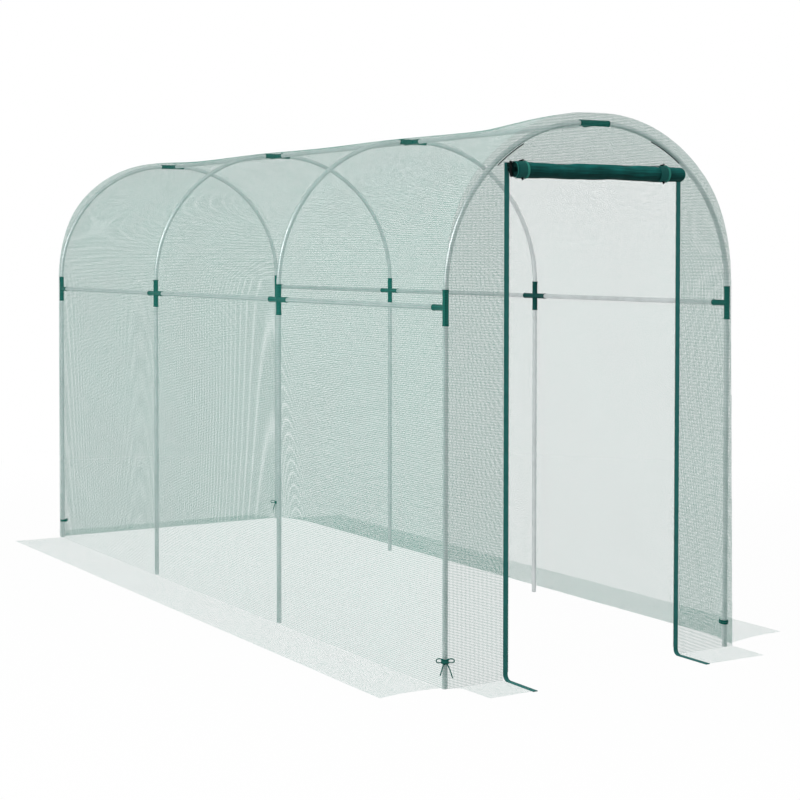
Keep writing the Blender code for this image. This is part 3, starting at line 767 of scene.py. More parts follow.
def roof_point(u, y):
    """u runs from 0 at the left rail, over the crown, to the right rail."""
    from_crown = np.abs(u - ROOF_HALF_WIDTH)
    side = np.where(u < ROOF_HALF_WIDTH, -1.0, 1.0)
    lean = np.clip((from_crown - CROWN_STRAIGHT) / ROOF_RADIUS, 0, math.pi / 2)
    below = np.maximum(from_crown - CROWN_STRAIGHT - ROOF_RADIUS * math.pi / 2, 0)
    hang = hoop_slack(y) * np.sqrt(np.sin(2 * lean))
    lift = hump_lift(y, lean) - settings().sag * hang + CLOTH_RIPPLE * hang * ripple(u, y)
    radius = ROOF_RADIUS + lift
    x = np.minimum(from_crown, CROWN_STRAIGHT) + radius * np.sin(lean)
    z = SPRING_Z + radius * np.cos(lean) - below
    return np.stack([side * x, y, z], axis=-1)


def fold_x(side, y):
    """Where a side wall meets the ground: drawn in near the ends, where the net is tied to the posts."""
    near_end = np.clip((np.abs(y) - END_FACE) / CORNER_PULL + 1, 0, 1)
    return FOLD_X[side] + (CORNER_FOLD_X[side] - FOLD_X[side]) * near_end ** 4


def wall_x(side, y, z):
    share = 1 - np.asarray(z) / RAIL_Z
    return NET_X + (fold_x(side, y) - NET_X) * share


def side_wall_point(side):
    sign = SIDES[side]

    def placed(y, z):
        middle_share = np.sin(math.pi * np.clip(z / RAIL_Z, 0, 1))
        hang = hoop_slack(y) * middle_share
        x = wall_x(side, y, z) - hang * (WALL_SAG_SHARE * settings().sag - CLOTH_RIPPLE * ripple(y, z))
        return np.stack([sign * x, y, z], axis=-1)

    return placed


def end_wall_point(end, slack):
    """An end wall, which swells a little where slack(x, z) lets it."""

    def placed(x, z):
        y = end * (END_FACE + CLOTH_RIPPLE * slack(x, z) * ripple(x * 1.7, z * 1.3))
        return np.stack([x, y, z], axis=-1)

    return placed


def end_outline(y):
    """The outline of an end wall: the fold at each foot, the leaning sides and the roof's section."""
    spots = np.linspace(0, 2 * ROOF_HALF_WIDTH, 2 * ARCH_STEPS + 5)
    over = roof_point(spots, np.full(len(spots), y))
    roof = [(float(x), float(z)) for x, _, z in over]
    feet = [(wall_x("right", y, NET_FOOT), NET_FOOT), (-wall_x("left", y, NET_FOOT), NET_FOOT)]
    return roof + [(float(x), z) for x, z in feet]


def cut_off(outline, axis, limit, keep):
    """The part of an outline on which keep times (coordinate - limit) is at least 0."""
    kept = []
    for here, there in zip(outline, outline[1:] + outline[:1]):
        depth, next_depth = keep * (here[axis] - limit), keep * (there[axis] - limit)
        if depth >= 0:
            kept.append(here)
        if depth * next_depth < 0:
            share = depth / (depth - next_depth)
            kept.append(tuple(a + (b - a) * share for a, b in zip(here, there)))
    return kept


def curved_edge(start, end, depth, inward, steps=8):
    """Points from start to end along a hollow curve, bowed by depth towards inward."""
    line = []
    for step in range(steps + 1):
        share = step / steps
        bow = depth * math.sin(math.pi * share)
        line.append(tuple(a + (b - a) * share + bow * c for a, b, c in zip(start, end, inward)))
    return line


def ground_point(x, y):
    lift = SKIRT_LIFT + SKIRT_WAVE * (1 + ripple(2.2 * x, 1.7 * y)) / 2
    return np.stack([x, y, lift], axis=-1)


class Undoable:
    """What the cage's operators share."""

    bl_options = {"REGISTER", "UNDO"}


class FRUITCAGE_OT_add_tubes(Undoable, bpy.types.Operator):
    """Builds the legs, arches, rails and ridge tubes of galvanised steel"""

    bl_idname = "fruit_cage.add_tubes"
    bl_label = "Steel tubes"

    def tube(self, node, path, across):
        form = Form()
        outer = swept(path, circle(TUBE_RADIUS, TUBE_SIDES), across)
        inner = swept(path, circle(TUBE_RADIUS - TUBE_WALL, TUBE_SIDES), across)
        count = len(outer[0])
        skin, skin_uvs = outer[1][:-2], outer[2][:-2]
        lining = [tuple(corner + count for corner in face)[::-1] for face in inner[1][:-2]]
        last = count - TUBE_SIDES
        rims = []
        for start, turn in ((0, 1), (last, -1)):
            for step in range(TUBE_SIDES):
                beside = (step + 1) % TUBE_SIDES
                rim = (start + beside, start + step, start + step + count, start + beside + count)
                rims.append(rim[::turn])
        faces = skin + lining + rims
        uvs = skin_uvs + [face[::-1] for face in inner[2][:-2]] + [((0, 0),) * 4 for _ in rims]
        form.add(np.concatenate([outer[0], inner[0]]), faces, uvs)
        put(f"{node}_steel", form.mesh(node), [steel_material()], [node])

    def execute(self, context):
        turns = np.linspace(0, math.pi / 2, ARCH_STEPS)
        bend_x = CROWN_STRAIGHT + ARCH_RADIUS * np.cos(turns)
        bend_z = SPRING_Z + ARCH_RADIUS * np.sin(turns)
        for hoop, y in zip(HOOPS, HOOP_Y):
            for side, sign in SIDES.items():
                x = sign * POST_X
                leg = [(x, y, 0), (x, y, LEG_TOP / 2), (x, y, LEG_TOP)]
                self.tube(f"leg_{hoop}_{side}", leg, (0, 1, 0))
                bend = [(sign * a, y, b) for a, b in zip(bend_x, bend_z)]
                arch = [(x, y, ARCH_FOOT_Z), *bend, (sign * ARCH_TOP_X, y, CROWN_Z)]
                self.tube(f"arch_{hoop}_{side}", arch, (0, 1, 0))
        for bay, y in enumerate(HOOP_Y[:-1], 1):
            ends = [y + BAY / 2 + share * SPACER_HALF for share in (-1, 0, 1)]
            self.tube(f"ridge_tube_{bay}", [(0, end, CROWN_Z) for end in ends], (1, 0, 0))
            for side, sign in SIDES.items():
                self.tube(f"rail_{side}_{bay}", [(sign * POST_X, end, RAIL_Z) for end in ends], (1, 0, 0))
        return {"FINISHED"}


class FRUITCAGE_OT_add_sockets(Undoable, bpy.types.Operator):
    """Builds the moulded sockets that hold the tubes, each arm with a bead round its mouth"""

    bl_idname = "fruit_cage.add_sockets"
    bl_label = "Moulded sockets"

    def arm_profile(self, low, high, low_mouth, high_mouth):
        """(distance along the arm, radius) from one end to the other."""
        bead, inside = SLEEVE_RADIUS + BEAD_HEIGHT, TUBE_RADIUS + 0.0003
        soft = BEAD_HEIGHT * 0.8
        mouth = [(MOUTH_DEPTH, inside), (0, inside), (0, bead - soft), (soft, bead)]
        mouth += [(BEAD_LENGTH, bead), (BEAD_LENGTH + BEAD_HEIGHT, SLEEVE_RADIUS)]
        start = [(low + a, r) for a, r in mouth] if low_mouth else [(low, SLEEVE_RADIUS * 0.98)]
        finish = [(high - a, r) for a, r in reversed(mouth)] if high_mouth else [(high, SLEEVE_RADIUS * 0.98)]
        return start + finish

    def arm(self, axis, profile):
        """A turned arm along an axis through the origin."""
        axis = np.asarray(axis, float)
        first = np.array([0.0, 0.0, 1.0]) if abs(axis[2]) < 0.5 else np.array([1.0, 0.0, 0.0])
        second = np.cross(axis, first)
        ring = circle(1.0, SOCKET_SIDES)
        spokes = ring[:, :1] * first + ring[:, 1:] * second
        points = np.concatenate([axis * distance + spokes * radius for distance, radius in profile])
        faces, _ = grid_faces(len(profile), SOCKET_SIDES, closed_columns=True)
        faces = faces.tolist()
        faces.append(list(range(SOCKET_SIDES))[::-1])
        faces.append(list(range(len(points) - SOCKET_SIDES, len(points))))
        form = Form()
        form.add(points, faces)
        return form.mesh("arm")

    def socket(self, main, sleeve_half, reach, both_ways):
        """The sleeve joined to its stub, with the crease between them filleted."""
        sleeve = self.arm(main, self.arm_profile(-sleeve_half, sleeve_half, True, True))
        low = -reach if both_ways else 0.0
        stub = self.arm((0, 1, 0), self.arm_profile(low, reach, both_ways, True))
        body = bpy.data.objects.new("socket_body", sleeve)
        helper = bpy.data.objects.new("socket_stub", stub)
        for part in (body, helper):
            bpy.context.scene.collection.objects.link(part)
        union = body.modifiers.new("Join", "BOOLEAN")
        union.operation = "UNION"
        union.object = helper
        bevel = body.modifiers.new("Fillet", "BEVEL")
        bevel.width = SOCKET_FILLET
        bevel.segments = 2
        bevel.limit_method = "ANGLE"
        bevel.angle_limit = math.radians(42)
        graph = bpy.context.evaluated_depsgraph_get()
        mesh = bpy.data.meshes.new_from_object(body.evaluated_get(graph), depsgraph=graph)
        for part in (body, helper):
            bpy.data.objects.remove(part)
        mesh.materials.clear()
        return mesh

    def place(self, node, mesh, centre, turned):
        mesh = mesh.copy()
        points = np.empty(len(mesh.vertices) * 3)
        mesh.vertices.foreach_get("co", points)
        points = points.reshape(-1, 3)
        if turned:
            points = points * (-1, -1, 1)
        mesh.vertices.foreach_set("co", (points + centre).reshape(-1))
        mesh.update()
        plastic = plastic_material("green_socket_plastic", settings().plastic_colour, 0.32, 0.48)
        put(f"{node}_moulded", mesh, [plastic], [node], smooth_angle=50)

    def execute(self, context):
        upright, level = (0, 0, 1), (1, 0, 0)
        sides = [self.socket(upright, POST_SLEEVE_HALF, RAIL_STUB_REACH, both) for both in (False, True)]
        crowns = [self.socket(level, CROWN_SLEEVE_HALF, RIDGE_STUB_REACH, both) for both in (False, True)]
        for hoop, y in zip(HOOPS, HOOP_Y):
            inner, turned = hoop not in (HOOPS[0], HOOPS[-1]), hoop == HOOPS[-1]
            self.place(f"crown_connector_{hoop}", crowns[inner], (0, y, CROWN_Z), turned)
            for side, sign in SIDES.items():
                centre = (sign * POST_X, y, RAIL_Z)
                self.place(f"side_connector_{hoop}_{side}", sides[inner], centre, turned)
        return {"FINISHED"}


class FRUITCAGE_OT_add_side_nets(Undoable, bpy.types.Operator):
    """Hangs the two side walls of net from the rails"""

    bl_idname = "fruit_cage.add_side_nets"
    bl_label = "Side nets"

    def execute(self, context):
        outline = [(-END_FACE, NET_FOOT), (END_FACE, NET_FOOT), (END_FACE, RAIL_Z), (-END_FACE, RAIL_Z)]
        pitch = settings().upright_pitch
        uprights = (0, evenly(-END_FACE, END_FACE, pitch), pitch * settings().upright_cover)
        for side, sign in SIDES.items():
            placed = side_wall_point(side)
            pitch = row_pitch(side)
            rows = (1, evenly(NET_FOOT, RAIL_Z, pitch), pitch * settings().row_cover)
            bands, steps = [uprights, rows], (WALL_STEP, FLAT_STEP)
            mesh = net_piece(f"side_net_{side}", placed, outline, bands, steps, outward=sign)
            finish_net(f"side_netting_{side}", mesh,
                       [f"side_net_{side}"])
        return {"FINISHED"}


class FRUITCAGE_OT_add_roof_net(Undoable, bpy.types.Operator):
    """Stretches the roof net over the hoops, with its hump over the door hoop"""

    bl_idname = "fruit_cage.add_roof_net"
    bl_label = "Roof net"

    def execute(self, context):
        width = 2 * ROOF_HALF_WIDTH
        outline = [(0, -END_FACE), (width, -END_FACE), (width, END_FACE), (0, END_FACE)]
        bands = []
        for side, start in (("left", 0), ("right", ROOF_HALF_WIDTH)):
            pitch = row_pitch(side)
            bands.append((0, evenly(start, start + ROOF_HALF_WIDTH, pitch), pitch * settings().row_cover))
        pitch = settings().upright_pitch
        bands.append((1, evenly(-END_FACE, END_FACE, pitch), pitch * settings().upright_cover))
        mesh = net_piece("roof_net", roof_point, outline, bands, (ROUND_STEP, WALL_STEP))
        finish_net("roof_netting", mesh, ["roof_net"])
        return {"FINISHED"}


class FRUITCAGE_OT_add_end_nets(Undoable, bpy.types.Operator):
    """Hangs the back wall, and the door wall in three pieces round the doorway"""

    bl_idname = "fruit_cage.add_end_nets"
    bl_label = "End nets"

    def front_slack(self, x, z):
        share = (np.abs(x) - BINDING_HIGH.x) / (POST_X - BINDING_HIGH.x)
        across, rising = (np.sin(math.pi * np.clip(part, 0, 1)) for part in (share, z / CROWN_Z))
        return across * rising * (z < TAPE_TOP)

    def back_slack(self, x, z):
        across = np.clip(1 - (x / POST_X) ** 2, 0, 1)
        return 1.6 * across * np.sin(math.pi * np.clip(z / (CROWN_Z * 0.9), 0, 1))

    def hang(self, name, end, slack, outline, held_by, nodes):
        xs, zs = zip(*outline)
        pitch = settings().mesh_pitch if end < 0 else settings().back_pitch
        width = pitch * settings().end_cover
        uprights = np.arange(math.ceil(min(xs) / pitch) - 0.5, max(xs) / pitch) * pitch
        rows = evenly(math.floor(min(zs) / pitch) * pitch, max(zs), pitch)
        bands = [(0, uprights, width), (1, rows, width)]
        placed, steps = end_wall_point(end, slack), (FLAT_STEP, FLAT_STEP)
        mesh = net_piece(name, placed, outline, bands, steps, outward=-end)
        finish_net(name, mesh, nodes)

    def execute(self, context):
        front = end_outline(-END_FACE)
        posts = {side: [f"leg_1_{side}", f"arch_1_{side}"] for side in SIDES}
        for side, sign in SIDES.items():
            panel = cut_off(front, 0, JAMB_X[side], sign)
            name, nodes = f"front_netting_{side}", [f"front_net_{side}"]
            self.hang(name, -1, self.front_slack, panel, posts[side], nodes)
        header = cut_off(front, 1, TAPE_TOP, 1)
        for side, sign in SIDES.items():
            header = cut_off(header, 0, JAMB_X[side], -sign)
        held_by = ["arch_1_left", "arch_1_right"]
        self.hang("front_netting_top", -1, self.front_slack, header, held_by, ["front_net_top"])
        back = end_outline(END_FACE)
        held_by = ["arch_4_left", "arch_4_right"]
        self.hang("back_netting", 1, self.back_slack, back, held_by, ["back_net"])
        return {"FINISHED"}


class FRUITCAGE_OT_add_skirts(Undoable, bpy.types.Operator):
    """Lays the five ground skirts, with hollow corners between them"""

    bl_idname = "fruit_cage.add_skirts"
    bl_label = "Ground skirts"

    def lay(self, name, outline, length, node, beside):
        pitch, width = settings().mesh_pitch, settings().skirt_thread
        bands = []
        for axis, along in enumerate(zip(*outline)):
            bands.append((axis, evenly(min(along), max(along), pitch), width))
        steps = (WALL_STEP, WALL_STEP)
        mesh = net_piece(name, ground_point, outline, bands, steps, flatness=SKIRT_THREAD_FLATNESS)
        finish_net(name, mesh, [node])

    def execute(self, context):
        for side, (edge, front_y, foot, back_y, hollow) in SIDE_SKIRTS.items():
            self.lay_side(side, (edge, front_y), foot, (edge, back_y), hollow)
        length = SKIRT_REACH_Y - END_FACE
        for side, sign in SIDES.items():
            outer, corner, fold = (sign * x for x in FRONT_SKIRTS[side])
            rim = [(outer, -SKIRT_REACH_Y)]
            rim += curved_edge((corner, FRONT_CORNER_Y), (fold, -END_FACE), FRONT_HOLLOW, (-sign, 0))
            inner = [(JAMB_X[side], -END_FACE), (JAMB_X[side], -SKIRT_REACH_Y)]
            front = (f"ground_skirt_front_{side}", rim + inner, length, f"skirt_front_{side}")
            self.lay(*front, [f"front_net_{side}"])
        (left_fold, left_rim), (right_fold, right_rim) = BACK_SKIRT.values()
        left = curved_edge((left_fold, END_FACE), (left_rim, SKIRT_REACH_Y), BACK_HOLLOW, (1, 0))
        right = curved_edge((right_rim, SKIRT_REACH_Y), (right_fold, END_FACE), BACK_HOLLOW, (-1, 0))
        self.lay("ground_skirt_back", left + right, length, "skirt_back", ["back_net"])
        return {"FINISHED"}

    def lay_side(self, side, front_tip, front_foot, back_tip, hollow):
        """A side skirt from its tip at the door end, round its fold, to its tip at the back."""
        sign = SIDES[side]
        front = curved_edge(front_tip, front_foot, hollow, (0, 1))
        reach = -front_foot[1]
        fold = [(float(fold_x(side, y)), float(y)) for y in np.linspace(-reach, reach, 40)[1:-1]]
        back = curved_edge((front_foot[0], reach), back_tip, hollow, (0, -1))
        outline = [(sign * x, y) for x, y in front + fold + back]
        self.lay(f"ground_skirt_{side}", outline, 2 * END_FACE, f"skirt_{side}", [f"side_net_{side}"])


class FRUITCAGE_OT_add_door_binding(Undoable, bpy.types.Operator):
    """Binds the doorway with tapes that run down to the ground and out along it, stitched on both edges"""

    bl_idname = "fruit_cage.add_door_binding"
    bl_label = "Door binding"

    STITCH_SHARE = 0.62  # of the pitch from stitch to stitch
    STITCH_RADIUS = 0.00026
    STITCH_INSET = 0.0016  # from the tape's edge
    THREAD_GAIN = 1.5  # how much lighter the thread is than the tape

    def upright_path(self, x):
        ground = TAPE_THICKNESS / 2 + 0.0002
        corners = [(x, TAPE_FOOT_Y, ground), (x, TAPE_Y, ground), (x, TAPE_Y, TAPE_TOP)]
        bent = rounded_path(corners, TAPE_BEND_RADIUS, 10)
        rise = np.linspace(bent[-2], bent[-1], 30)[1:]
        return np.vstack([bent[:-1], rise])

    def stitches(self, form, path, offset, across):
        """A row of stitches along a tape, offset from its middle."""
        steps = np.linalg.norm(np.diff(path, axis=0), axis=1)
        along = np.concatenate([[0], np.cumsum(steps)])
        pitch = settings().stitch_pitch
        length, radius = pitch * self.STITCH_SHARE, self.STITCH_RADIUS
        section = circle(radius, 5)
        across = np.asarray(across, float)
        for start in np.arange(pitch, along[-1] - pitch, pitch):
            spots = start + length * np.array([0, 0.2, 0.8, 1])
            line = np.stack([np.interp(spots, along, path[:, axis]) for axis in range(3)], axis=1)
            out = np.cross(across, unit(line[-1] - line[0]))
            proud = TAPE_THICKNESS / 2 + radius * np.array([-0.9, 0.7, 0.7, -0.9])
            points, faces, _ = swept(line + across * offset + out * proud[:, None], section, across)
            form.add(points, faces)

    def execute(self, context):
        colour = settings().tape_colour
        tape = cloth_material("doorway_tape", colour, 0.7, 0.16, 30.0, weave=0.0009, sheen=0.05)
        thread_colour = tuple(self.THREAD_GAIN * part for part in colour)
        thread = cloth_material("stitching_thread", thread_colour, 0.6, drift=0.1)
        form, sewing = Form(), Form()
        section = rounded_bar(TAPE_WIDTH, TAPE_THICKNESS, 0.0011)
        for middle_x in TAPE_X.values():
            path = self.upright_path(middle_x)
            form.add(*swept(path, section, (1, 0, 0)))
            for edge in (-1, 1):
                self.stitches(sewing, path, edge * (TAPE_WIDTH / 2 - self.STITCH_INSET), (1, 0, 0))
        head_z = TAPE_TOP - TAPE_WIDTH / 2
        inset = TAPE_WIDTH / 2 + 0.0001
        head = [(x, TAPE_Y, head_z) for x in np.linspace(TAPE_X["left"] + inset, TAPE_X["right"] - inset, 24)]
        form.add(*swept(head, section, (0, 0, 1)))
        put("door_tapes", form.mesh("door_tapes"), [tape], ["door_binding"])
        put("door_tape_stitching", sewing.mesh("door_tape_stitching"), [thread])
        return {"FINISHED"}


class FRUITCAGE_OT_add_door_roll(Undoable, bpy.types.Operator):
    """Rolls the door net up into a loose spiral"""

    bl_idname = "fruit_cage.add_door_roll"
    bl_label = "Door roll"

    FINE_TURNS, FINE_STEPS, COARSE_STEPS = 1.5, 72, 22  # the outer turns are finer, in steps to a turn
    COLUMNS = 72
    RIM_WIDTH = 0.0035
    INNER_RECESS = 0.006  # how far the inner turns end inside the outer one
    STREAK_SCALE = (420.0, 9.0, 1.0)
    STREAK_SPANS = (0.3, 0.7, 0.45, 1.35)
    # painted shade: gain on the colour from the roll's underside up to its top
    PAINTED_SHADE_SPANS = (-0.5, 0.9, 0.35, 1.15)

    def execute(self, context):
        outer_turns = np.arange(0, self.FINE_TURNS, 1 / self.FINE_STEPS)
        inner_turns = np.arange(self.FINE_TURNS, ROLL_TURNS + 0.01, 1 / self.COARSE_STEPS)
        turns = np.concatenate([outer_turns, inner_turns])
        count = self.COLUMNS
        half = (ROLL_HIGH.x - ROLL_LOW.x) / 2
        rim_share = 1 - self.RIM_WIDTH / half
        share = np.concatenate([[-1], np.linspace(-rim_share, rim_share, count - 2), [1]])
        centre_x = (ROLL_HIGH.x + ROLL_LOW.x) / 2
        turn, across = np.meshgrid(turns, share, indexing="ij")
        recess = self.INNER_RECESS * smooth((turn - 1.0) / 4) + 0.0012 * np.sin(5.3 * turn) * (turn > 1.2)
        x = centre_x + across * (half - recess)
        angle = 2 * math.pi * turn
        radius = ROLL_RADIUS - ROLL_SHEET - ROLL_PITCH * turn
        outermost = 1 - smooth(turn - 1.0)
        folds = np.sin(13 * angle + 4 * np.sin(9 * x)) * 0.00016 + np.sin(23 * angle - 11 * x) * 0.00010
        lumps = 0.0010 * np.sin(23 * x + 2 * angle) + 0.0007 * np.sin(47 * x - 3 * angle + 1)
        radius = radius + outermost * (folds + lumps) - 0.0003 * outermost
        edge = smooth((1 - np.abs(across)) * half / 0.004)
        radius = radius - 0.0012 * outermost * (1 - edge)
        drop = 0.0011 * np.sin(14 * x + 1.1)

        def ring_points(r):
            y = ROLL_Y + r * np.cos(angle)
            z = ROLL_Z - r * np.sin(angle) + drop
            return np.stack([x, y, z], axis=-1).reshape(-1, 3)

        rows, columns = len(turns), count
        outside, inside = ring_points(radius), ring_points(radius - ROLL_SHEET)
        faces, corners = grid_faces(rows, columns)
        lengths = np.concatenate([[0], np.cumsum(2 * math.pi * radius[:-1, 0] * np.diff(turns))])
        uvs = np.stack([np.stack([lengths[r], x[r, c]], axis=1) for r, c in corners], axis=1)
        total = rows * columns
        rim = list(range(columns)) + [row * columns + columns - 1 for row in range(1, rows)]
        rim += [(rows - 1) * columns + column for column in range(columns - 2, -1, -1)]
        rim += [row * columns for row in range(rows - 2, 0, -1)]
        edge_faces = [(b, a, a + total, b + total) for a, b in zip(rim, rim[1:] + rim[:1])]
        every = faces.tolist() + (faces[:, ::-1] + total).tolist() + edge_faces
        both = [tuple(map(tuple, face)) for face in uvs]
        every_uvs = both + [face[::-1] for face in both] + [((0, 0),) * 4 for _ in edge_faces]
        form = Form()
        form.add(np.concatenate([outside, inside]), every, every_uvs)
        # Painted highlight: a lighter strip, RIM_WIDTH wide, along both ends of the outer turns, where light
        # catches the rim
        painted_highlight_cells = (corners[0][0] < 80) & ((corners[0][1] == 0) | (corners[0][1] == columns - 2))
        # Painted shade: the inner turns, their inner side and the sheet's cut edges take a near-black colour
        finishes = np.where(painted_highlight_cells, 1, np.where(turns[corners[0][0]] > 1.1, 2, 0))
        form.finishes = finishes.tolist() + np.where(finishes == 2, 2, 0).tolist() + [2] * len(edge_faces)
        rim_highlight_paint = cloth_material("roll_rim_painted_highlight", (0.014, 0.140, 0.115), 0.7, 0.15, 40.0)
        painted_shade_inside = cloth_material("roll_inside_painted_shade", (0.002, 0.030, 0.027), 0.8, 0.15, 40.0)
        finishes = [self.material(), rim_highlight_paint, painted_shade_inside]
        mesh = form.mesh("rolled_door_net")
        piece = put("rolled_door_net", mesh, finishes, ["door_roll"], "door_roll", 70)
        return {"FINISHED"}

    def material(self):
        """Many layers of net, streaked, with painted shade: darker where the surface faces down, lighter
        where it faces up.
        """
        material, tree, shader = new_material("rolled_net")
        shader.inputs["Roughness"].default_value = 0.62
        shader.inputs["Specular IOR Level"].default_value = 0.06
        colour = (*settings().roll_colour, 1)
        drifting = placed_group(tree, "Colour drift", Colour=colour, Scale=26.0, Amount=0.22)
        chart = tree.nodes.new("ShaderNodeUVMap")
        chart.uv_map = "Length"
        streaks = tree.nodes.new("ShaderNodeMapping")
        streaks.inputs["Scale"].default_value = self.STREAK_SCALE
        tree.links.new(chart.outputs["UV"], streaks.inputs["Vector"])
        noise = noise_node(tree, 1.0, 3.0, streaks.outputs["Vector"])
        # Painted shade: the colour is darkened the more the surface faces down
        facing = tree.nodes.new("ShaderNodeSeparateXYZ")
        tree.links.new(tree.nodes.new("ShaderNodeNewGeometry").outputs["Normal"], facing.inputs[0])
        streaked = map_range(tree, noise, self.STREAK_SPANS)
        painted_shade = map_range(tree, facing.outputs["Z"], self.PAINTED_SHADE_SPANS)
        gain = math_node(tree, "MULTIPLY", streaked, painted_shade)
        tree.links.new(scaled_colour(tree, drifting.outputs["Colour"], gain), shader.inputs["Base Color"])
        tree.links.new(bump_from(tree, noise, 0.5, 0.0004), shader.inputs["Normal"])
        return material


class FRUITCAGE_OT_add_door_curtain(Undoable, bpy.types.Operator):
    """Hangs the door net from its head tape to the roll, so that it stays whole as the roll goes down"""

    bl_idname = "fruit_cage.add_door_curtain"
    bl_label = "Door curtain"

    LEVEL_THREAD_HEIGHT = 0.00010

    def execute(self, context):
        top, bottom = TAPE_TOP, ROLL_Z
        drop = top - bottom
        pitch, height = settings().mesh_pitch, self.LEVEL_THREAD_HEIGHT
        width = pitch * settings().end_cover
        form = Form()
        for x in np.arange(-CURTAIN_HALF_WIDTH + width, CURTAIN_HALF_WIDTH, pitch):
            ridge = CURTAIN_Y - settings().thread_height
            ring = [(x - width / 2, CURTAIN_Y), (x + width / 2, CURTAIN_Y), (x, ridge)]
            points = [(a, b, z) for z in (bottom, top) for a, b in ring]
            form.add(points, [(0, 1, 4, 3), (1, 2, 5, 4), (2, 0, 3, 5), (2, 1, 0), (3, 4, 5)])
        for share in np.arange(pitch, DOOR_TRAVEL, pitch) / DOOR_TRAVEL:
            spots = [share + way * width / 2 / DOOR_TRAVEL for way in (1, 0, -1)]
            heights = [self.rest_height(spot, top, drop) for spot in spots]
            ring = [(CURTAIN_Y, heights[0]), (CURTAIN_Y - height, heights[1]), (CURTAIN_Y, heights[2])]
            ends = (-CURTAIN_HALF_WIDTH, CURTAIN_HALF_WIDTH)
            points = [(x, y, z) for x in ends for y, z in ring]
            form.add(points, [(0, 1, 4, 3), (1, 2, 5, 4), (2, 0, 3, 5), (2, 1, 0), (3, 4, 5)])
        mesh = form.mesh("door_net_curtain")
        piece = put("door_net_curtain", mesh, net_colours(), ["door_curtain"], body=None)
        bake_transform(piece)
        return {"FINISHED"}

    def rest_height(self, share, top, drop):
        """Where a thread lies at rest that is this share of the way down once the door is let down."""
        return top - drop * (0.5 - math.sin(math.asin(1 - 2 * share) / 3))


class FRUITCAGE_OT_add_roll_straps(Undoable, bpy.types.Operator):
    """Wraps the two straps round the roll, each with a raised hem, dark toggles and their cord"""

    bl_idname = "fruit_cage.add_roll_straps"
    bl_label = "Roll straps"

    def execute(self, context):
        band = cloth_material("roll_strap_band", (0.004, 0.070, 0.063), 0.7, 0.15, 30.0, weave=0.0011)
        # The hem is raised, and its lighter colour is a painted highlight along the strap's edge
        hem = cloth_material("roll_strap_hem_painted_highlight", (0.018, 0.170, 0.135), 0.65, 0.15, 30.0, weave=0.0008)
        black = plastic_material("black_toggle", (0.0005, 0.003, 0.003), 0.6, 0.8)
        cord = cloth_material("toggle_cord", (0.300, 0.330, 0.330), 0.7, 0.15, 40.0)
        lie = ROLL_RADIUS + 0.0008
        angles = np.radians(np.arange(82, 268, 6))
        wrap = [(0, ROLL_Y + lie * math.cos(a), ROLL_Z - lie * math.sin(a)) for a in angles]
        header_y = -END_FACE - 0.0032
        lead = [(0, ROLL_Y + 0.012, ROLL_Z + lie), (0, header_y - 0.004, TAPE_TOP + 0.0022),
                (0, header_y, TAPE_TOP + 0.0034)]
        path = smooth_line([*wrap, *lead], 2)
        thickness, hem_width, hem_extra = 0.0014, 0.0085, 0.0012
        half = STRAP_WIDTH / 2
        for side in SIDES:
            centre = middle(f"roll_strap_{side}").x
            shift = np.array([centre, 0, 0])
            form = Form()
            section = rounded_bar(STRAP_WIDTH, thickness, 0.0006)
            form.add(*swept(path + shift, section, (1, 0, 0)))
            offset = np.array([half - hem_width / 2 + 0.0010, 0, 0])
            hem_section = rounded_bar(hem_width, thickness + 2 * hem_extra, 0.0018)
            form.add(*swept(path[:-4] + shift + offset, hem_section, (1, 0, 0)), finish=1)
            self.toggles(form, centre)
            if side == "left":
                self.loop(form)
            name, finishes = f"door_strap_{side}", [band, hem, black, cord]
            piece = put(name, form.mesh(name), finishes, [f"roll_strap_{side}"])
            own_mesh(piece)
        return {"FINISHED"}

    def loop(self, form):
        """A dark elastic loop that hangs beside the roll's left end."""
        bends = [
            (0.016, 0.025), (0.019, 0.016), (0.017, 0.006), (0.019, -0.004), (0.017, -0.014), (0.013, -0.023),
            (0.008, -0.025), (0.009, -0.016), (0.013, -0.007), (0.008, 0.003), (0.012, 0.013), (0.009, 0.021),
        ]
        ring = [(ROLL_LOW.x - 0.0032, ROLL_Y + y, ROLL_Z + z + 0.003) for y, z in bends]
        line = smooth_line(ring, 4, closed=True)
        form.add(*swept(line, circle(0.0026, 10), (1, 0, 0), closed=True), finish=2)

    def toggles(self, form, centre):
        """A barrel on top of the band and one under it, each with a bit of pale cord beside it."""
        for y, z, radius, barrel, bit in (
            (ROLL_Y - 0.003, ROLL_Z + ROLL_RADIUS + 0.0036, 0.0027,
             [(-0.0060, -0.0022), (0.0020, 0.0002), (0.0120, 0.0020)],
             [(0.0120, 0.0012), (0.0180, -0.0006), (0.0235, -0.0030)]),
            (ROLL_Y - 0.012, ROLL_Z - 0.0255, 0.0034,
             [(-0.0010, 0.0010), (0.0005, -0.0040), (0.0030, -0.0085)],
             [(0.0035, -0.0045), (0.0070, -0.0048), (0.0105, -0.0020)]),
        ):
            barrel, bit = ([(centre + a, y, z + b) for a, b in line] for line in (barrel, bit))
            form.add(*swept(barrel, circle(radius, 12), (0, 1, 0)), finish=2)
            form.add(*swept(smooth_line(bit, 4), circle(0.0013, 8), (0, 1, 0)), finish=3)


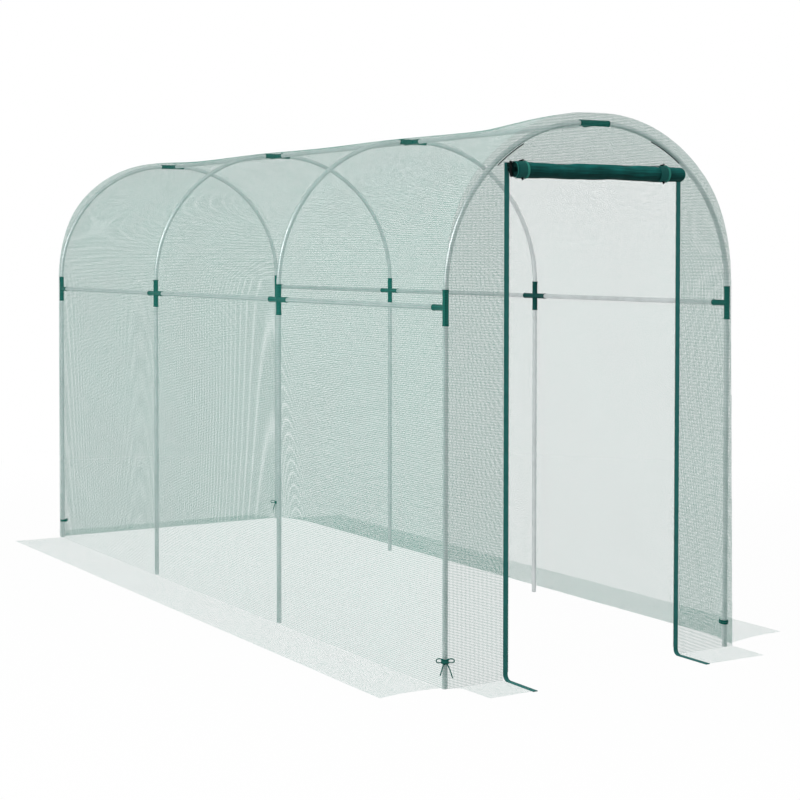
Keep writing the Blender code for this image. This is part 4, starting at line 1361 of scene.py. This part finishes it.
class FRUITCAGE_OT_add_zips(Undoable, bpy.types.Operator):
    """Runs a zip down each side of the doorway, with its slider at the top"""

    bl_idname = "fruit_cage.add_zips"
    bl_label = "Zips"

    def execute(self, context):
        plastic = plastic_material("slider_moulding", (0.003, 0.020, 0.018), 0.3, 0.45)
        teeth_finish = plastic_material("zip_teeth_plastic", (0.010, 0.070, 0.062), 0.35, 0.5)
        for side, sign in SIDES.items():
            low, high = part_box(f"zip_slider_{side}")
            centre = (low + high) / 2
            self.slider(side, centre, low, high, plastic)
            self.teeth(side, sign, teeth_finish)
        return {"FINISHED"}

    def slider(self, side, centre, low, high, plastic):
        top, back = min(high.z, TAPE_TOP - 0.001), high.y - 0.0006
        form = Form()
        body = [(0.0, 0.0030), (0.003, 0.0039), (0.007, 0.0036), (0.012, 0.0028), (0.014, 0.0022)]
        for depth, front in ((0.0, 0.0014), (0.0026, 0.0012)):
            path = [(centre.x, back - depth - front / 2, top - distance) for distance, _ in body]
            width = np.array([half for _, half in body])
            base = rounded_bar(1.0, front, 0.0005)
            points, faces, uvs = swept(path, base, (1, 0, 0))
            stretch = np.repeat(width * 2, len(base))
            points[:, 0] = centre.x + (points[:, 0] - centre.x) * stretch
            form.add(points, faces, uvs)
        post = [(centre.x, back - 0.0010, top - 0.003), (centre.x, back - 0.0032, top - 0.003)]
        form.add(*swept(post, circle(0.0012, 12), (1, 0, 0)))
        bail = smooth_line([
            (centre.x, back - 0.0036, top - 0.0030), (centre.x, back - 0.0046, top - 0.0045),
            (centre.x, back - 0.0046, top - 0.0090), (centre.x, back - 0.0036, top - 0.0105),
        ], 6)
        form.add(*swept(bail, circle(0.0007, 10), (1, 0, 0)))
        pull_y = low.y + 0.0009
        outer = [(-0.0012, 0.0), (-0.0024, -0.005), (-0.0025, -0.018), (-0.0016, -0.0225), (0.0, -0.0238)]
        rim = outer + [(-x, z) for x, z in reversed(outer[:-1])]
        ring = smooth_line([(centre.x + x, pull_y, top - 0.007 + z) for x, z in rim], 4, closed=True)
        form.add(*swept(ring, rounded_bar(0.0012, 0.0013, 0.0004), (0, 1, 0), closed=True))
        grip = [(centre.x, pull_y, top - 0.007 - z) for z in (0.011, 0.013, 0.020, 0.0225)]
        form.add(*swept(grip, rounded_bar(0.0042, 0.0009, 0.0003), (1, 0, 0)))
        node = f"zip_slider_{side}"
        put(f"{node}_moulded", form.mesh(node), [plastic], [node], f"zip_{side}", 45)

    def teeth(self, side, sign, finish):
        """The half of the zip that stays on the jamb: teeth along the tape's inner edge."""
        pitch, size = 0.0026, (0.0022, 0.0020, 0.0015)
        form = Form()
        x = TAPE_X[side] - sign * (TAPE_WIDTH / 2 + size[0] / 2 - 0.0004)
        levels = np.arange(TAPE_BEND_RADIUS + 0.01, TAPE_TOP - TAPE_WIDTH - 0.004, pitch)
        box = [(0, 1, 3, 2), (4, 6, 7, 5), (0, 4, 5, 1), (2, 3, 7, 6), (0, 2, 6, 4), (1, 5, 7, 3)]
        ends = (-0.5, 0.5)
        for z in levels:
            corners = [
                (x + a * size[0], TAPE_Y + b * size[1], z + c * size[2])
                for a in ends for b in ends for c in ends
            ]
            form.add(corners, box)
        put(f"zip_teeth_{side}", form.mesh(f"zip_teeth_{side}"), [finish], smooth_angle=30)


class FRUITCAGE_OT_add_post_ties(Undoable, bpy.types.Operator):
    """Ties the net to the foot of each corner post, with a bow towards the inside"""

    bl_idname = "fruit_cage.add_post_ties"
    bl_label = "Post ties"

    CORD_RADIUS = 0.0019

    def execute(self, context):
        cord = cloth_material("tie_cord", (0.006, 0.085, 0.070), 0.7, 0.15, 40.0)
        corners = (
            ("front", "left", (-0.514, -0.858), 4, 0.95, (-1, 1), -0.003),
            ("front", "right", (-0.858, 0.514), 4, 0.35, (), -0.003),
            ("back", "left", (0.707, -0.707), 3, 0.45, (), -0.009),
            ("back", "right", (-0.707, -0.707), 4, 0.90, (1,), -0.006),
        )
        for end, side, facing, turns, bow, tails, lower in corners:
            node = f"post_tie_{end}_{side}"
            hoop = 1 if end == "front" else 4
            sign = SIDES[side]
            centre = np.array([sign * POST_X, middle(f"leg_{hoop}_{side}").y, TIE_Z + lower])
            form = self.tie(centre, unit(np.array([*facing, 0.0])), turns, bow, tails)
            put(f"{node}_cord", form.mesh(node), [cord], [node])
        return {"FINISHED"}

    def tie(self, centre, facing, winds, bow_size, tails):
        """Cord wound round the post and the net, and a bow that faces that way."""
        side, up = np.cross(facing, (0, 0, 1)), np.array([0, 0, 1.0])
        form = Form()
        thick = self.CORD_RADIUS
        turns = np.linspace(0, 2 * math.pi, 28, endpoint=False)
        for turn in range(winds):
            level = (turn - (winds - 1) / 2) * 1.85 * thick
            reach = TUBE_RADIUS + thick + 0.0006 + 0.0005 * math.sin(2.1 * turn)
            tilt = 0.0008 * math.sin(1.7 * turn + 1)
            ring = []
            for t in turns:
                spoke = reach * (math.cos(t) * facing + math.sin(t) * side)
                ring.append(centre + spoke + up * (level + tilt * math.sin(t)))
            form.add(*swept(ring, circle(thick, 8), (0, 0, 1), closed=True))
        knot_at = TUBE_RADIUS + 2.6 * thick

        def at(out, across, rise):
            return centre + facing * (knot_at + out) + side * across + up * rise

        knot = [at(0.001, -0.0060, 0.0006), at(0.0035, 0.0, 0.0), at(0.001, 0.0060, -0.0006)]
        form.add(*swept(smooth_line(knot, 5), circle(0.0042, 12), up))
        bow = [(0, 0.0010), (0.008, 0.0052), (0.018, 0.0078), (0.027, 0.0072)]
        bow += [(0.0312, 0.0022), (0.028, -0.0038), (0.018, -0.0052), (0.007, -0.0028)]
        raised = 0.0065 * bow_size ** 3
        for sign in (-1, 1):
            loop = [at(0.002 + 0.12 * x * bow_size, sign * x * bow_size, z + raised) for x, z in bow]
            form.add(*swept(smooth_line(loop, 5, closed=True), circle(thick, 8), facing, closed=True))
        falls = {
            -1: [(0, -0.002), (0.0065, -0.006), (0.0105, -0.011),
                 (0.0145, -0.021), (0.0195, -0.035), (0.0245, -0.050)],
            1: [(0, -0.002), (0.0055, -0.008), (0.0088, -0.0165),
                (0.0112, -0.025), (0.0140, -0.034), (0.0165, -0.043)],
        }
        for sign in tails:
            bent = [at(0.002 + 0.1 * x, sign * x, z) for x, z in falls[sign]]
            form.add(*swept(smooth_line(bent, 5), circle(thick * 1.05, 8), facing))
        return form


class FRUITCAGE_OT_add_hoop_shade_line(Undoable, bpy.types.Operator):
    """Lays a near-black cord on the door wall along the inside of the door hoop's shoulders, as painted shade
    where the hoop meets the net
    """

    bl_idname = "fruit_cage.add_hoop_seam"
    bl_label = "Hoop shade line"

    CORD_RADIUS = 0.0020
    SPANS = {"left": (0.0010, 48, 61), "right": (0.0060, 53, 68)}  # inset from the arch, first and last angle

    def execute(self, context):
        # Painted shade: the cord's near-black colour stands for the shade along the hoop's inner edge
        cord = cloth_material("painted_shade_cord", (0.004, 0.020, 0.020), 0.7, 0.12, 40.0)
        y = -END_FACE - 0.001
        form = Form()
        for side, sign in SIDES.items():
            inward, start, end = self.SPANS[side]
            radius = ARCH_RADIUS - TUBE_RADIUS - inward
            turns = np.radians(np.linspace(start, end, 30))
            xs, zs = CROWN_STRAIGHT + radius * np.cos(turns), SPRING_Z + radius * np.sin(turns)
            path = [(sign * x, y, z) for x, z in zip(xs, zs)]
            form.add(*swept(path, circle(self.CORD_RADIUS, 8), (0, 1, 0)))
        put("hoop_painted_shade_line", form.mesh("hoop_painted_shade_line"), [cord])
        return {"FINISHED"}


class FRUITCAGE_OT_add_stage(Undoable, bpy.types.Operator):
    """Sets a pale floor, soft light and the camera"""

    bl_idname = "fruit_cage.add_stage"
    bl_label = "Stage"

    CAMERA_PLACE = (-3.680, -6.568, 1.433)
    CAMERA_TURN = (math.radians(88.098), math.radians(-0.03), math.radians(-30.903))
    CAMERA_LENS = 78.25
    CAMERA_SHIFT = (0.01225, -0.1111)
    FLOOR_HALF, FLOOR_DROP = 40.0, 0.0005
    FLOOR_COLOUR = (0.60, 0.60, 0.60, 1)
    GLOW_SPANS = (2.2, 5.0, 0.97, 1.0)  # from the middle of the cage: how white the floor is
    SKY_SPANS = (-0.1, 0.9, 0.50, 1.35)
    AIM = (0, 0, 0.9)
    FILL_SHARE = 0.2  # of the key light's power

    def execute(self, context):
        self.floor()
        self.sky()
        self.lights()
        self.camera()
        bpy.context.scene.view_settings.view_transform = "Standard"
        return {"FINISHED"}

    def camera(self):
        data = bpy.data.cameras.new("Camera")
        data.sensor_width = 36.0
        data.lens = self.CAMERA_LENS
        data.shift_x, data.shift_y = self.CAMERA_SHIFT
        data.clip_end = 200.0
        camera = bpy.data.objects.new("Camera", data)
        camera.location = self.CAMERA_PLACE
        camera.rotation_euler = self.CAMERA_TURN
        bpy.context.scene.collection.objects.link(camera)
        bpy.context.scene.camera = camera

    def seen_directly(self, tree):
        """1 for rays from the camera and for those that a mirror or glass sends on."""
        path = tree.nodes.new("ShaderNodeLightPath")
        first = math_node(tree, "MAXIMUM", path.outputs["Is Camera Ray"], path.outputs["Is Glossy Ray"])
        return math_node(tree, "MAXIMUM", first, path.outputs["Is Transmission Ray"])

    def floor(self):
        half = self.FLOOR_HALF
        mesh = bpy.data.meshes.new("floor")
        corners = [(-half, -half, 0), (half, -half, 0), (half, half, 0), (-half, half, 0)]
        mesh.from_pydata(corners, [], [(0, 1, 2, 3)])
        material, tree, shader = new_material("pale_floor")
        shader.inputs["Base Color"].default_value = self.FLOOR_COLOUR
        shader.inputs["Roughness"].default_value = 0.9
        glow = tree.nodes.new("ShaderNodeEmission")
        glow.inputs["Strength"].default_value = 1.0
        mix = tree.nodes.new("ShaderNodeMixShader")
        white_share = math_node(tree, "MULTIPLY", self.seen_directly(tree), self.glow(tree))
        tree.links.new(white_share, mix.inputs["Fac"])
        tree.links.new(shader.outputs[0], mix.inputs[1])
        tree.links.new(glow.outputs[0], mix.inputs[2])
        tree.links.new(mix.outputs[0], tree.nodes["Material Output"].inputs["Surface"])
        mesh.materials.append(material)
        floor = bpy.data.objects.new("floor", mesh)
        floor.location.z = -self.FLOOR_DROP
        bpy.context.scene.collection.objects.link(floor)

    def glow(self, tree):
        """How much of the floor is plain white: less round the cage, where it takes a soft shadow."""
        place = tree.nodes.new("ShaderNodeTexCoord").outputs["Object"]
        length = tree.nodes.new("ShaderNodeVectorMath")
        length.operation = "LENGTH"
        tree.links.new(place, length.inputs[0])
        return map_range(tree, length.outputs["Value"], self.GLOW_SPANS, "SMOOTHSTEP")

    def sky(self):
        """White to the camera, and for light a little brighter above than at the horizon."""
        world = bpy.data.worlds.new("Studio")
        world.use_nodes = True
        tree = world.node_tree
        background = tree.nodes["Background"]
        white = tree.nodes.new("ShaderNodeBackground")
        white.inputs["Strength"].default_value = 1.0
        white.inputs["Color"].default_value = (1, 1, 1, 1)
        parts = tree.nodes.new("ShaderNodeSeparateXYZ")
        tree.links.new(tree.nodes.new("ShaderNodeTexCoord").outputs["Generated"], parts.inputs[0])
        rising = map_range(tree, parts.outputs["Z"], self.SKY_SPANS)
        strength = math_node(tree, "MULTIPLY", rising, settings().sky_strength)
        background.inputs["Color"].default_value = (1, 1, 1, 1)
        tree.links.new(strength, background.inputs["Strength"])
        mix = tree.nodes.new("ShaderNodeMixShader")
        tree.links.new(self.seen_directly(tree), mix.inputs["Fac"])
        tree.links.new(background.outputs[0], mix.inputs[1])
        tree.links.new(white.outputs[0], mix.inputs[2])
        tree.links.new(mix.outputs[0], tree.nodes["World Output"].inputs["Surface"])
        bpy.context.scene.world = world

    def lights(self):
        for name, place, power, size in (
            ("key", (-7.0, -1.8, 4.6), settings().key_power, 3.0),
            ("fill", (5.0, -6.0, 4.0), settings().key_power * self.FILL_SHARE, 5.0),
        ):
            data = bpy.data.lights.new(name, "AREA")
            data.energy = power
            data.size = size
            lamp = bpy.data.objects.new(name, data)
            lamp.location = place
            aim = Vector(self.AIM) - Vector(place)
            lamp.rotation_euler = aim.to_track_quat("-Z", "Y").to_euler()
            bpy.context.scene.collection.objects.link(lamp)


OPERATORS = (
    FRUITCAGE_OT_add_tubes,
    FRUITCAGE_OT_add_sockets,
    FRUITCAGE_OT_add_side_nets,
    FRUITCAGE_OT_add_roof_net,
    FRUITCAGE_OT_add_end_nets,
    FRUITCAGE_OT_add_skirts,
    FRUITCAGE_OT_add_door_binding,
    FRUITCAGE_OT_add_door_roll,
    FRUITCAGE_OT_add_door_curtain,
    FRUITCAGE_OT_add_roll_straps,
    FRUITCAGE_OT_add_zips,
    FRUITCAGE_OT_add_post_ties,
    FRUITCAGE_OT_add_hoop_shade_line,
    FRUITCAGE_OT_add_stage,
)


class FRUITCAGE_PT_sidebar(bpy.types.Panel):
    """Sizes, colours and the buttons that build the cage"""

    bl_label = "Fruit Cage"
    bl_idname = "FRUITCAGE_PT_sidebar"
    bl_space_type = "VIEW_3D"
    bl_region_type = "UI"
    bl_category = "Fruit Cage"

    def draw(self, context):
        cage = context.scene.fruit_cage
        for field in FruitCageSettings.__annotations__:
            self.layout.prop(cage, field)
        for operator in OPERATORS:
            self.layout.operator(operator.bl_idname)


CLASSES = (FruitCageSettings, *OPERATORS, FRUITCAGE_PT_sidebar)


def register():
    for item in CLASSES:
        bpy.utils.register_class(item)
    bpy.types.Scene.fruit_cage = PointerProperty(type=FruitCageSettings)


def unregister():
    del bpy.types.Scene.fruit_cage
    for item in reversed(CLASSES):
        bpy.utils.unregister_class(item)


def main():
    register()
    for operator in OPERATORS:
        group, name = operator.bl_idname.split(".")
        getattr(getattr(bpy.ops, group), name)()
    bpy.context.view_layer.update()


if __name__ == "__main__":
    main()
